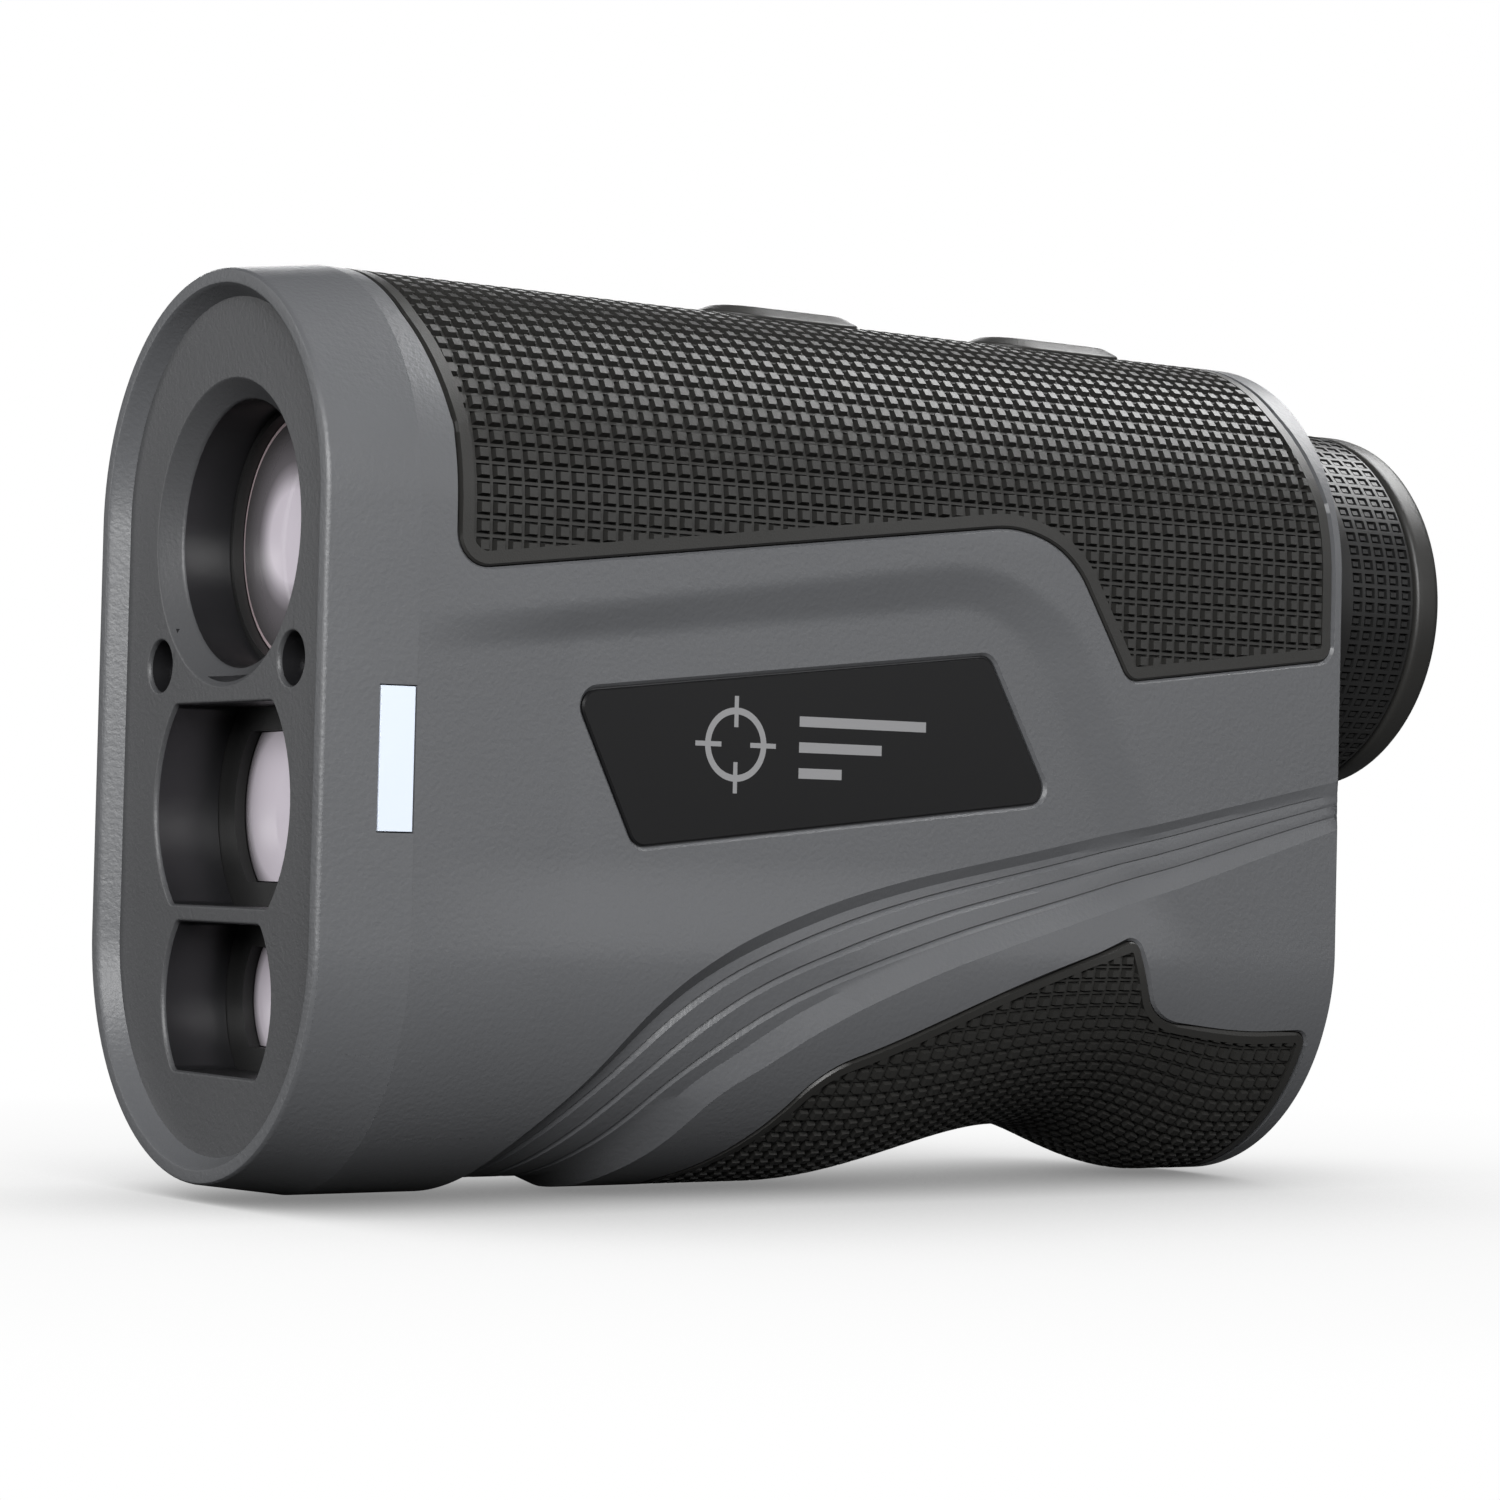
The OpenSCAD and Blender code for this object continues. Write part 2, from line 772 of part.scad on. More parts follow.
module eyepiece_tube() {
    slot_l = 2 * (focus_pin_r + focus_travel + 0.15);
    color(trim_black)
    difference() {
        union() {
            round_y(tube_front, tube_rear, eyepiece_tube_r);
            round_y(cover_inner - flange_t, cover_inner, flange_r);
        }
        round_y(tube_front - 1, tube_front + 0.6, prism_half);
        round_y(tube_front + 0.6, tube_rear + 1, cell_r + running);
        translate([-focus_pin_r - running, nose_y + focus_pin_d - slot_l / 2, axis_z - flange_r - 1])
            cube([2 * (focus_pin_r + running), slot_l, flange_r]);
        button_board_box(free_gap);
    }
}

module diopter_ring() {
    color(trim_black)
    difference() {
        round_y(ring_start, ring_end, ring_r);
        round_y(ring_start - 1, ring_end + 1, ring_bore_r);
        round_y(focus_pin_d - cam_half, focus_pin_d + cam_half, cam_r + free_gap);
        round_y(ring_end - counterbore_l, ring_end + 1, counterbore_r);
    }
}

module diopter_retainer() {
    color(steel)
    ring_y(ring_end - counterbore_l + free_gap, tube_rear, counterbore_r - free_gap, eyepiece_tube_r);
}

module eyecup() {
    color(rubber_black)
    difference() {
        union() {
            round_y(ring_end, eyecup_end - 0.8, ring_r - 0.2);
            round_y(eyecup_end - 0.8, eyecup_end, ring_r - 0.2, ring_r - 1);
        }
        round_y(ring_end - 1, ring_end + 0.8, counterbore_r);
        round_y(ring_end, eyecup_end + 1, cell_r - 0.8);
        round_y(eyecup_end - 1, eyecup_end + eps, cell_r - 0.8, cell_r + 0.4);
    }
}

module lens_cell() {
    color(trim_black)
    difference() {
        round_y(cell_start, cell_end, cell_r);
        round_y(cell_start - 1, cell_end + 1, cell_bore_r - 0.8);
        round_y(cell_start - 1, cell_start + eye_lens_t, cell_bore_r);
        round_y(cell_end - eye_lens_t - 1, cell_end + 1, cell_bore_r);
        translate([0, nose_y + focus_pin_d, axis_z - cell_r - 1]) cylinder(h = 2.4, r = focus_pin_r);
    }
}

module focus_pin() {
    color(steel)
    translate([0, nose_y + focus_pin_d, axis_z - cam_r])
        cylinder(h = cam_r - cell_r + 1.2, r = focus_pin_r);
}

module field_lens() {
    color(glass_tint)
    bulged_disc(cell_start + 1.2, cell_start + eye_lens_t, cell_bore_r - fit, eye_curve_r);
}

module eye_lens() {
    color(glass_tint)
    bulged_disc(cell_end - eye_lens_t - 1, cell_end - 2.2, cell_bore_r - fit, eye_curve_r, front = false);
}

// Laser ------------------------------------------------------------------

// Light-tight tube from a window in the panel back to a small round seat
module laser_tube(r, flat, z, length, seat_r) {
    end = tunnel_end + length;
    neck = end - laser_can_l;
    color(trim_black)
    difference() {
        union() {
            window_prism(tunnel_end, chassis_end, r + tube_edge, r + tube_edge,
                flat + tube_edge, flat + tube_edge, z);
            window_prism(chassis_end, neck, r + tube_edge, seat_r + tube_wall,
                flat + tube_edge, seat_r + tube_wall, z);
            round_y(neck, end, seat_r + tube_wall, z = z);
        }
        window_prism(tunnel_end - 1, lens_face, r - lens_margin - 1, r - lens_margin - 1,
            flat - lens_margin, flat - lens_margin, z);
        window_prism(lens_face - eps, lens_face + laser_lens_t, r - lens_margin, r - lens_margin,
            flat - lens_margin + laser_rim, flat - lens_margin + laser_rim, z);
        window_prism(lens_face + laser_lens_t - eps, neck, r - lens_margin - 1, seat_r,
            flat - lens_margin, seat_r, z);
        round_y(neck - eps, end + 1, seat_r, z = z);
    }
}

// Lens whose bulge passes through the tube's front opening, with its rim seated behind it
module laser_lens(r, flat, z) {
    seat = lens_face + 0.02;
    edge_r = r - lens_margin - fit;
    edge_flat = flat - lens_margin + laser_rim - fit;
    seen_r = edge_r - 1;
    seen_flat = flat - lens_margin - fit;
    color(glass_tint)
    intersection() {
        bulged_disc(seat, lens_face + laser_lens_t, edge_r, laser_curve_r, z = z);
        union() {
            window_prism(0, seat + 0.5, seen_r, seen_r, seen_flat, seen_flat, z);
            window_prism(seat, body_l, edge_r + 1, edge_r + 1, edge_flat, edge_flat, z);
        }
    }
}

// Can with a glass front and two leads, seated in the end of a laser tube
module laser_can(z, length, r) {
    end = tunnel_end + length;
    color(steel)
    union() {
        round_y(end - laser_can_l + 0.5, end, r - fit, z = z);
        round_y(end, end + 0.8, r + tube_wall - 0.2, z = z);
        for (s = [-1, 1]) round_y(end, end + 4, 0.25, x = s * r / 2, z = z);
    }
}

module receiver_tube() {
    laser_tube(receiver_r, receiver_flat, receiver_z, receiver_tube_l, receiver_seat_r);
}

module receiver_lens() {
    laser_lens(receiver_r, receiver_flat, receiver_z);
}

module photodiode() {
    laser_can(receiver_z, receiver_tube_l, receiver_seat_r);
}

module emitter_tube() {
    laser_tube(emitter_r, emitter_flat, emitter_z, emitter_tube_l, emitter_seat_r);
}

module emitter_lens() {
    laser_lens(emitter_r, emitter_flat, emitter_z);
}

module laser_diode() {
    laser_can(emitter_z, emitter_tube_l, emitter_seat_r);
}

// Electronics --------------------------------------------------------------

module main_board() {
    color(board_green)
    translate([-main_board_x - board_t, nose_y + main_board_start, main_board_low])
        cube([board_t, main_board_end - main_board_start, main_board_high - main_board_low]);
}

module main_chips() {
    chips = [[3, 12, 7], [3, 3, 5], [12, 4, 5], [13, 16, 4]];
    color(trim_black)
    for (c = chips)
        translate([-main_board_x, nose_y + main_board_start + c[0], main_board_low + c[1]])
            cube([1.2, c[2], c[2]]);
}

// Room of the board under the buttons, with a margin on every side
module button_board_box(margin) {
    half_w = key_core_r + 6 + margin;
    translate([-half_w, nose_y + power_d - 8 - margin, button_board_z - margin])
        cube([2 * half_w, button_pitch + 16 + 2 * margin, board_t + 2 * margin]);
}

module button_board() {
    color(board_green) button_board_box(0);
}

// Ribbon from the main board, past the objective barrel, up to the button board
module button_flex() {
    x = main_board_x + board_t;
    top_z = button_board_z + board_t;
    color("darkorange")
    translate([0, nose_y + power_d + 10, 0]) rotate([90, 0, 0]) linear_extrude(8)
        polygon([
            [-x, main_board_high - 4], [-x - 0.2, main_board_high - 4], [-x - 0.2, axis_z + 8],
            [-key_core_r - 8, top_z + 0.2], [-key_core_r - 4, top_z + 0.2], [-key_core_r - 4, top_z],
            [-key_core_r - 7.9, top_z], [-x, axis_z + 7.9]
        ]);
}

module key_switch(d) {
    color(trim_black)
    difference() {
        translate([-switch_w / 2, nose_y + d - switch_w / 2, switch_top - switch_h])
            cube([switch_w, switch_w, switch_h]);
        translate([0, nose_y + d, switch_top - plunger_h]) cylinder(h = 2, r = plunger_r + running);
    }
}

module key_plunger(d) {
    color("ivory")
    translate([0, nose_y + d, switch_top]) cylinder(h = plunger_h, r = plunger_r);
}

module key_button(d) {
    color(rubber_black) {
        intersection() {
            button_oval(d, button_l, button_w, key_flange_top - eps, body_h + 3);
            round_y(0, body_l, pad_top_r, z = high_z);
        }
        button_oval(d, button_l + 1, key_flange_w, key_flange_bottom, key_flange_top);
        translate([0, nose_y + d, key_flange_bottom - key_core_l])
            cylinder(h = key_core_l + eps, r = key_core_r);
    }
}

module power_switch() {
    key_switch(power_d);
}

module mode_switch() {
    key_switch(mode_d);
}

module power_plunger() {
    key_plunger(power_d);
}

module mode_plunger() {
    key_plunger(mode_d);
}

module power_button() {
    key_button(power_d);
}

module mode_button() {
    key_button(mode_d);
}

// Battery ------------------------------------------------------------------

module battery_sleeve() {
    color(trim_black)
    difference() {
        round_y(sleeve_start, cover_inner, sleeve_r, z = battery_z);
        round_y(sleeve_start + sleeve_wall, cover_inner + 1, sleeve_r - sleeve_wall, z = battery_z);
    }
}

module battery_cell() {
    color("silver")
    union() {
        round_y(battery_start, battery_end - 0.8, battery_r, z = battery_z);
        round_y(battery_end - 0.8, battery_end, 3, z = battery_z);
    }
}

module battery_spring() {
    color(steel)
    for (i = [0 : 2]) {
        step = spring_gap / 3;
        round_y(sleeve_start + sleeve_wall + i * step, sleeve_start + sleeve_wall + (i + 1) * step - 0.02,
            5.5 - 1.2 * i, z = battery_z);
    }
}

module battery_cap() {
    color(trim_black)
    difference() {
        union() {
            round_y(cap_head_start, cap_head_end - 0.5, cap_r, z = battery_z);
            round_y(cap_head_end - 0.5, cap_head_end, cap_r, cap_r - 0.5, z = battery_z);
            round_y(cap_plug_start, cap_head_start, cap_plug_r, z = battery_z);
        }
        round_y(cap_plug_start - 1, cap_plug_start + contact_seat, contact_r, z = battery_z);
        translate([-coin_slot_l / 2, nose_y + cap_head_end - coin_slot_depth, battery_z - coin_slot_w / 2])
            cube([coin_slot_l, 3, coin_slot_w]);
    }
}

module cap_contact() {
    color(steel)
    round_y(cap_plug_start + 0.2, cap_plug_start + contact_seat, contact_r - fit, z = battery_z);
}

module cap_seal() {
    color(rubber_black)
    ring_y(body_l + 0.04, cap_head_start - 0.04, cap_r - 0.3, cap_plug_r + 0.1, z = battery_z);
}

// Fasteners ------------------------------------------------------------------

// Screw along the body: head from d0 to d1, shank on to d2, cross slot in the head
module screw_y(d0, d1, d2, head_r, shank_r, x, z) {
    difference() {
        union() {
            round_y(min(d0, d1), max(d0, d1), head_r, x = x, z = z);
            round_y(min(d1, d2), max(d1, d2), shank_r, x = x, z = z);
        }
        for (a = [0, 90])
            translate([x, nose_y + d0, z]) rotate([0, a, 0])
                cube([1.6 * head_r, 1.2, 0.4], center = true);
    }
}

module panel_screws() {
    color(steel)
    for (s = [-1, 1])
        screw_y(panel_screw_seat - panel_screw_head_t, panel_screw_seat, chassis_end + 0.5,
            panel_screw_head_r, panel_screw_shank_r - 0.02, s * panel_screw_x, panel_screw_z);
}

module cover_screws() {
    color(steel)
    for (p = cover_screw_spots, s = [-1, 1])
        screw_y(body_l - 0.3, body_l - cover_screw_sink, cover_inner - 2, screw_head_r - fit, screw_shank_r,
            s * p[0], p[1]);
}

module shell_screws() {
    color(steel)
    for (p = shell_screw_spots)
        difference() {
            union() {
                cross_cylinder(p, screw_head_r, screw_seat_x(p) - shell_screw_head_t, screw_seat_x(p));
                cross_cylinder(p, screw_shank_r - 0.02, screw_seat_x(p) - 0.5, shell_screw_end);
            }
            translate([screw_seat_x(p) - shell_screw_head_t, nose_y + p[0], p[1]])
                cube([shell_screw_head_t, 1.6 * screw_head_r, 0.4], center = true);
        }
}

front_bezel();
front_panel();
front_chassis();
left_shell();
right_shell();
rear_cover();
upper_grip();
lower_grip();
left_badge();
right_badge();
left_indicator();
right_indicator();
objective_crown();
objective_flint();
objective_retainer();
objective_barrel();
prism_carrier();
prism_front();
prism_rear();
display_glass();
eyepiece_tube();
diopter_ring();
diopter_retainer();
eyecup();
lens_cell();
focus_pin();
field_lens();
eye_lens();
receiver_tube();
receiver_lens();
photodiode();
emitter_tube();
emitter_lens();
laser_diode();
main_board();
main_chips();
button_board();
button_flex();
power_switch();
mode_switch();
power_plunger();
mode_plunger();
power_button();
mode_button();
battery_sleeve();
battery_cell();
battery_spring();
battery_cap();
cap_contact();
cap_seal();
panel_screws();
shell_screws();
cover_screws();
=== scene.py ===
"""Looks of a handheld laser rangefinder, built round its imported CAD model."""

import json
import logging
import math
from contextlib import contextmanager
from dataclasses import dataclass
from enum import Enum
from typing import Any, Callable, ClassVar, Iterator, Sequence

import bpy
import numpy as np
from mathutils import Matrix, Vector


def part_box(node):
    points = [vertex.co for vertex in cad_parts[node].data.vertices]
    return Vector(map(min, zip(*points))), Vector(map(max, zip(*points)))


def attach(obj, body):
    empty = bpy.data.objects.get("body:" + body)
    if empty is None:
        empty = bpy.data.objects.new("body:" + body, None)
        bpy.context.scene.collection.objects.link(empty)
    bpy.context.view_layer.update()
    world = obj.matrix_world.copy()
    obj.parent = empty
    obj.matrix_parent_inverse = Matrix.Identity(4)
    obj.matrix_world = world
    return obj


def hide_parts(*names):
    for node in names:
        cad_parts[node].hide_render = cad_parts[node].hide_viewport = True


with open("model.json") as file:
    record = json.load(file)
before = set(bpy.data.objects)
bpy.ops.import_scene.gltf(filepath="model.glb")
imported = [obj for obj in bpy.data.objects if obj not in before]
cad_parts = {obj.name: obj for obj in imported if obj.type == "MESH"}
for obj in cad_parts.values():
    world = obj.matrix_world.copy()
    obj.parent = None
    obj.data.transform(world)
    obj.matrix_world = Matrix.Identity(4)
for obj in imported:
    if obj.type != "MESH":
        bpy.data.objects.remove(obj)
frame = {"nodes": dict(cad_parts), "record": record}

logging.basicConfig(level=logging.INFO, format="%(name)s: %(message)s")
log = logging.getLogger("rangefinder")

MM = 0.001
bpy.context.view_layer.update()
Point2 = tuple[float, float]
Colour = tuple[float, float, float]

# Height of the sighting optics' axis above the base, in millimetres
SIGHT_AXIS = 52.3
# A piece with more faces than this keeps its plain smooth normals
WEIGHTED_LIMIT = 60000


# Modelling bench ----------------------------------------------------------------


def clear_selection() -> None:
    """Deselects every object, so that an operator acts on one piece only."""
    for other in bpy.context.selected_objects:
        other.select_set(False)


def take_up(piece: bpy.types.Object) -> None:
    """Makes one piece the selected and active object.

    Args:
        piece: The object that the next operators work on.
    """
    clear_selection()
    piece.select_set(True)
    bpy.context.view_layer.objects.active = piece


@contextmanager
def editing(piece: bpy.types.Object, mode: str = "FACE") -> Iterator[None]:
    """Opens a piece in edit mode, and closes it again.

    Args:
        piece: The object to edit.
        mode: What is selected: VERT, EDGE or FACE.

    Yields:
        Nothing; the operators in the block act on the piece.
    """
    take_up(piece)
    bpy.ops.object.mode_set(mode="EDIT")
    bpy.ops.mesh.select_mode(type=mode)
    try:
        yield
    finally:
        bpy.ops.object.mode_set(mode="OBJECT")


def points_of(piece: bpy.types.Object) -> np.ndarray:
    """Reads a piece's vertices.

    Args:
        piece: A mesh object.

    Returns:
        One row of three numbers for each vertex.
    """
    flat = np.zeros(len(piece.data.vertices) * 3)
    piece.data.vertices.foreach_get("co", flat)
    return flat.reshape(-1, 3)


def put_points(piece: bpy.types.Object, points: np.ndarray) -> None:
    """Moves a piece's vertices.

    Args:
        piece: A mesh object.
        points: One row of three numbers for each vertex.
    """
    piece.data.vertices.foreach_set("co", np.asarray(points, float).ravel())
    piece.data.update()


def fresh(name: str) -> bpy.types.Object:
    """Names the primitive that was just added.

    Args:
        name: The piece's name.

    Returns:
        The new object.
    """
    piece = bpy.context.active_object
    piece.name = name
    piece.data.name = name
    return piece


def mend(piece: bpy.types.Object, merge: float = 0.0) -> bpy.types.Object:
    """Merges doubles and turns all faces outwards.

    Args:
        piece: A closed mesh.
        merge: How close two vertices are to be one, or 0 to merge none.

    Returns:
        The same piece.
    """
    with editing(piece, "VERT" if merge else "FACE"):
        bpy.ops.mesh.select_all(action="SELECT")
        if merge:
            bpy.ops.mesh.remove_doubles(threshold=merge)
        bpy.ops.mesh.normals_make_consistent(inside=False)
    return piece


def wire_ring(name: str, points: Sequence[Sequence[float]]) -> bpy.types.Object:
    """Closed wire through points, ready to be spun.

    Args:
        name: The piece's name.
        points: Rows of X, Y and Z, in order.

    Returns:
        The wire.
    """
    clear_selection()
    bpy.ops.mesh.primitive_circle_add(vertices=len(points), radius=1.0, fill_type="NOTHING")
    piece = fresh(name)
    put_points(piece, points)
    return piece


def apply_modifier(piece: bpy.types.Object, kind: str, **settings: Any) -> None:
    """Runs a modifier on a piece and keeps its result.

    Args:
        piece: The piece that is worked on.
        kind: The modifier's type.
        settings: The modifier's properties.
    """
    take_up(piece)
    step = piece.modifiers.new(kind, kind)
    for key, value in settings.items():
        setattr(step, key, value)
    bpy.ops.object.modifier_apply(modifier=step.name)


def loft(name: str, loops: Sequence[np.ndarray]) -> bpy.types.Object:
    """Closed solid through loops: a filled circle, extruded from loop to loop.

    Args:
        name: The piece's name.
        loops: Loops of equally many points, each a row of three numbers.

    Returns:
        The solid, with its normals outwards.
    """
    clear_selection()
    bpy.ops.mesh.primitive_circle_add(vertices=len(loops[0]), radius=1.0, fill_type="NGON")
    piece = fresh(name)
    put_points(piece, loops[0])
    for before, after in zip(loops, loops[1:]):
        with editing(piece):
            bpy.ops.mesh.extrude_region_move()
        points = points_of(piece)
        picked = np.array([v.index for v in piece.data.vertices if v.select])
        away = ((points[picked][:, None] - np.asarray(before)[None]) ** 2).sum(axis=2)
        points[picked] = np.asarray(after)[away.argmin(axis=1)]
        put_points(piece, points)
    return mend(piece)


class Cut(Enum):
    """What a tool does to a piece."""

    AWAY = "DIFFERENCE"
    KEEP = "INTERSECT"
    ADD = "UNION"


def combine(piece: bpy.types.Object, tool: bpy.types.Object, how: Cut = Cut.AWAY) -> bpy.types.Object:
    """Combines a piece with a tool, which is used up.

    Args:
        piece: The piece that is worked on.
        tool: The closed solid that cuts it or joins it.
        how: Whether the tool's space is cut away, kept or added.

    Returns:
        The same piece.
    """
    apply_modifier(piece, "BOOLEAN", operation=how.value, solver="MANIFOLD", object=tool)
    bpy.data.objects.remove(tool)
    return piece


def smooth(piece: bpy.types.Object, angle: float = 32.0) -> None:
    """Shades a piece smooth, except at edges sharper than an angle.

    Args:
        piece: A mesh object.
        angle: The sharpest smooth edge, in degrees.
    """
    take_up(piece)
    bpy.ops.object.shade_smooth_by_angle(angle=math.radians(angle))
    if len(piece.data.polygons) < WEIGHTED_LIMIT:
        apply_modifier(piece, "WEIGHTED_NORMAL", keep_sharp=True)


def rounded(points: Sequence[Point2], radii: Sequence[float], steps: int = 8) -> np.ndarray:
    """Turns a polygon's corners into arcs.

    Args:
        points: The corners in order.
        radii: The radius of each corner's arc, 0 for a sharp one.
        steps: Segments of each arc.

    Returns:
        The outline's points, one row each, counter-clockwise.
    """
    out: list[np.ndarray] = []
    corners = [np.array(p, float) for p in points]
    for i, (at, radius) in enumerate(zip(corners, radii)):
        if radius == 0:
            out.append(at)
            continue
        u = corners[i - 1] - at
        w = corners[(i + 1) % len(corners)] - at
        u, w = u / np.linalg.norm(u), w / np.linalg.norm(w)
        half = math.acos(float(np.clip(u @ w, -1, 1))) / 2
        middle = (u + w) / np.linalg.norm(u + w)
        centre = at + middle * radius / math.sin(half)
        start = at + u * radius / math.tan(half) - centre
        end = at + w * radius / math.tan(half) - centre
        sweep = math.atan2(start[0] * end[1] - start[1] * end[0], float(start @ end))
        for k in range(steps + 1):
            c, s = math.cos(sweep * k / steps), math.sin(sweep * k / steps)
            out.append(centre + np.array([c * start[0] - s * start[1], s * start[0] + c * start[1]]))
    outline = np.array(out)
    area = np.sum(outline[:, 0] * np.roll(outline[:, 1], -1) - outline[:, 1] * np.roll(outline[:, 0], -1))
    return outline if area > 0 else outline[::-1]


def grown(outline: np.ndarray, amount: float) -> np.ndarray:
    """Moves a counter-clockwise outline outwards.

    Args:
        outline: The points, one row each.
        amount: How far, or how far inwards where it is negative.

    Returns:
        As many points as before.
    """
    ahead = np.roll(outline, -1, axis=0) - outline
    ahead /= np.linalg.norm(ahead, axis=1, keepdims=True)
    out_after = np.stack([ahead[:, 1], -ahead[:, 0]], axis=1)
    out_before = np.roll(out_after, 1, axis=0)
    spread = 1 + (out_after * out_before).sum(axis=1, keepdims=True)
    return outline + amount * (out_after + out_before) / spread


def circle(radius: float, centre: Point2 = (0.0, 0.0), count: int = 96) -> np.ndarray:
    """Points of a circle, counter-clockwise.

    Args:
        radius: Its radius.
        centre: Its middle.
        count: How many points.

    Returns:
        One row of two numbers for each point.
    """
    turn = np.linspace(0, 2 * math.pi, count, endpoint=False)
    return np.stack([centre[0] + radius * np.cos(turn), centre[1] + radius * np.sin(turn)], axis=1)


def grid_slab(name: str, across: np.ndarray, along: np.ndarray, low: float, high: float) -> bpy.types.Object:
    """Slab of square cells: a grid that is extruded upwards. Its top stays selected.

    Args:
        name: The piece's name.
        across: Places of the lines across, along X.
        along: Places of the lines along, along Y.
        low: Height of the underside.
        high: Height of the top.

    Returns:
        The closed slab.
    """
    clear_selection()
    columns, rows = len(across) - 1, len(along) - 1
    bpy.ops.mesh.primitive_grid_add(x_subdivisions=columns, y_subdivisions=rows, size=2)
    piece = fresh(name)
    points = points_of(piece)
    column = np.rint((points[:, 0] + 1) / 2 * columns).astype(int)
    row = np.rint((points[:, 1] + 1) / 2 * rows).astype(int)
    put_points(piece, np.stack([across[column], along[row], np.full(len(points), low)], axis=1))
    with editing(piece):
        bpy.ops.mesh.extrude_region_move(TRANSFORM_OT_translate={"value": (0, 0, high - low)})
    top = [face.index for face in piece.data.polygons if abs(face.center.z - high) < 1e-6]
    mend(piece)
    pick_faces(piece, top)
    return piece


def pick_faces(piece: bpy.types.Object, chosen: Sequence[int]) -> None:
    """Selects these faces and nothing else, for the next edit.

    Args:
        piece: A mesh object.
        chosen: The faces' indices.
    """
    data = piece.data
    flags = np.zeros(len(data.polygons), bool)
    flags[list(chosen)] = True
    data.vertices.foreach_set("select", np.zeros(len(data.vertices), bool))
    data.edges.foreach_set("select", np.zeros(len(data.edges), bool))
    data.polygons.foreach_set("select", flags)
    data.update()


def raise_studs(piece: bpy.types.Object, studs: "Studs") -> None:
    """Turns the selected cells into pits with a stud in each, by four insets.

    Args:
        piece: A slab whose top cells are selected.
        studs: Sizes of the ribs, pits and studs.
    """
    with editing(piece):
        bpy.ops.mesh.inset(thickness=studs.rib / 2, depth=0, use_individual=True)
        bpy.ops.mesh.inset(thickness=studs.lean, depth=-studs.pit, use_individual=True)
        bpy.ops.mesh.inset(thickness=studs.moat, depth=0, use_individual=True)
        bpy.ops.mesh.inset(thickness=studs.lean_in, depth=studs.rise, use_individual=True)


def lathe(name: str, profile: Sequence[Point2], height: float, steps: int = 96) -> bpy.types.Object:
    """Closed ring turned about an axis along Y, from a closed profile.

    Args:
        name: The piece's name.
        profile: Places along Y and radii of the profile's corners.
        height: Height of the axis.
        steps: Segments round the axis.

    Returns:
        The ring.
    """
    piece = wire_ring(name, [(r, y, height) for y, r in profile])
    with editing(piece, "EDGE"):
        bpy.ops.mesh.select_all(action="SELECT")
        bpy.ops.mesh.spin(steps=steps, angle=2 * math.pi, center=(0, 0, height), axis=(0, 1, 0))
    return mend(piece, 1e-4)


# Shape of the body -----------------------------------------------------------------


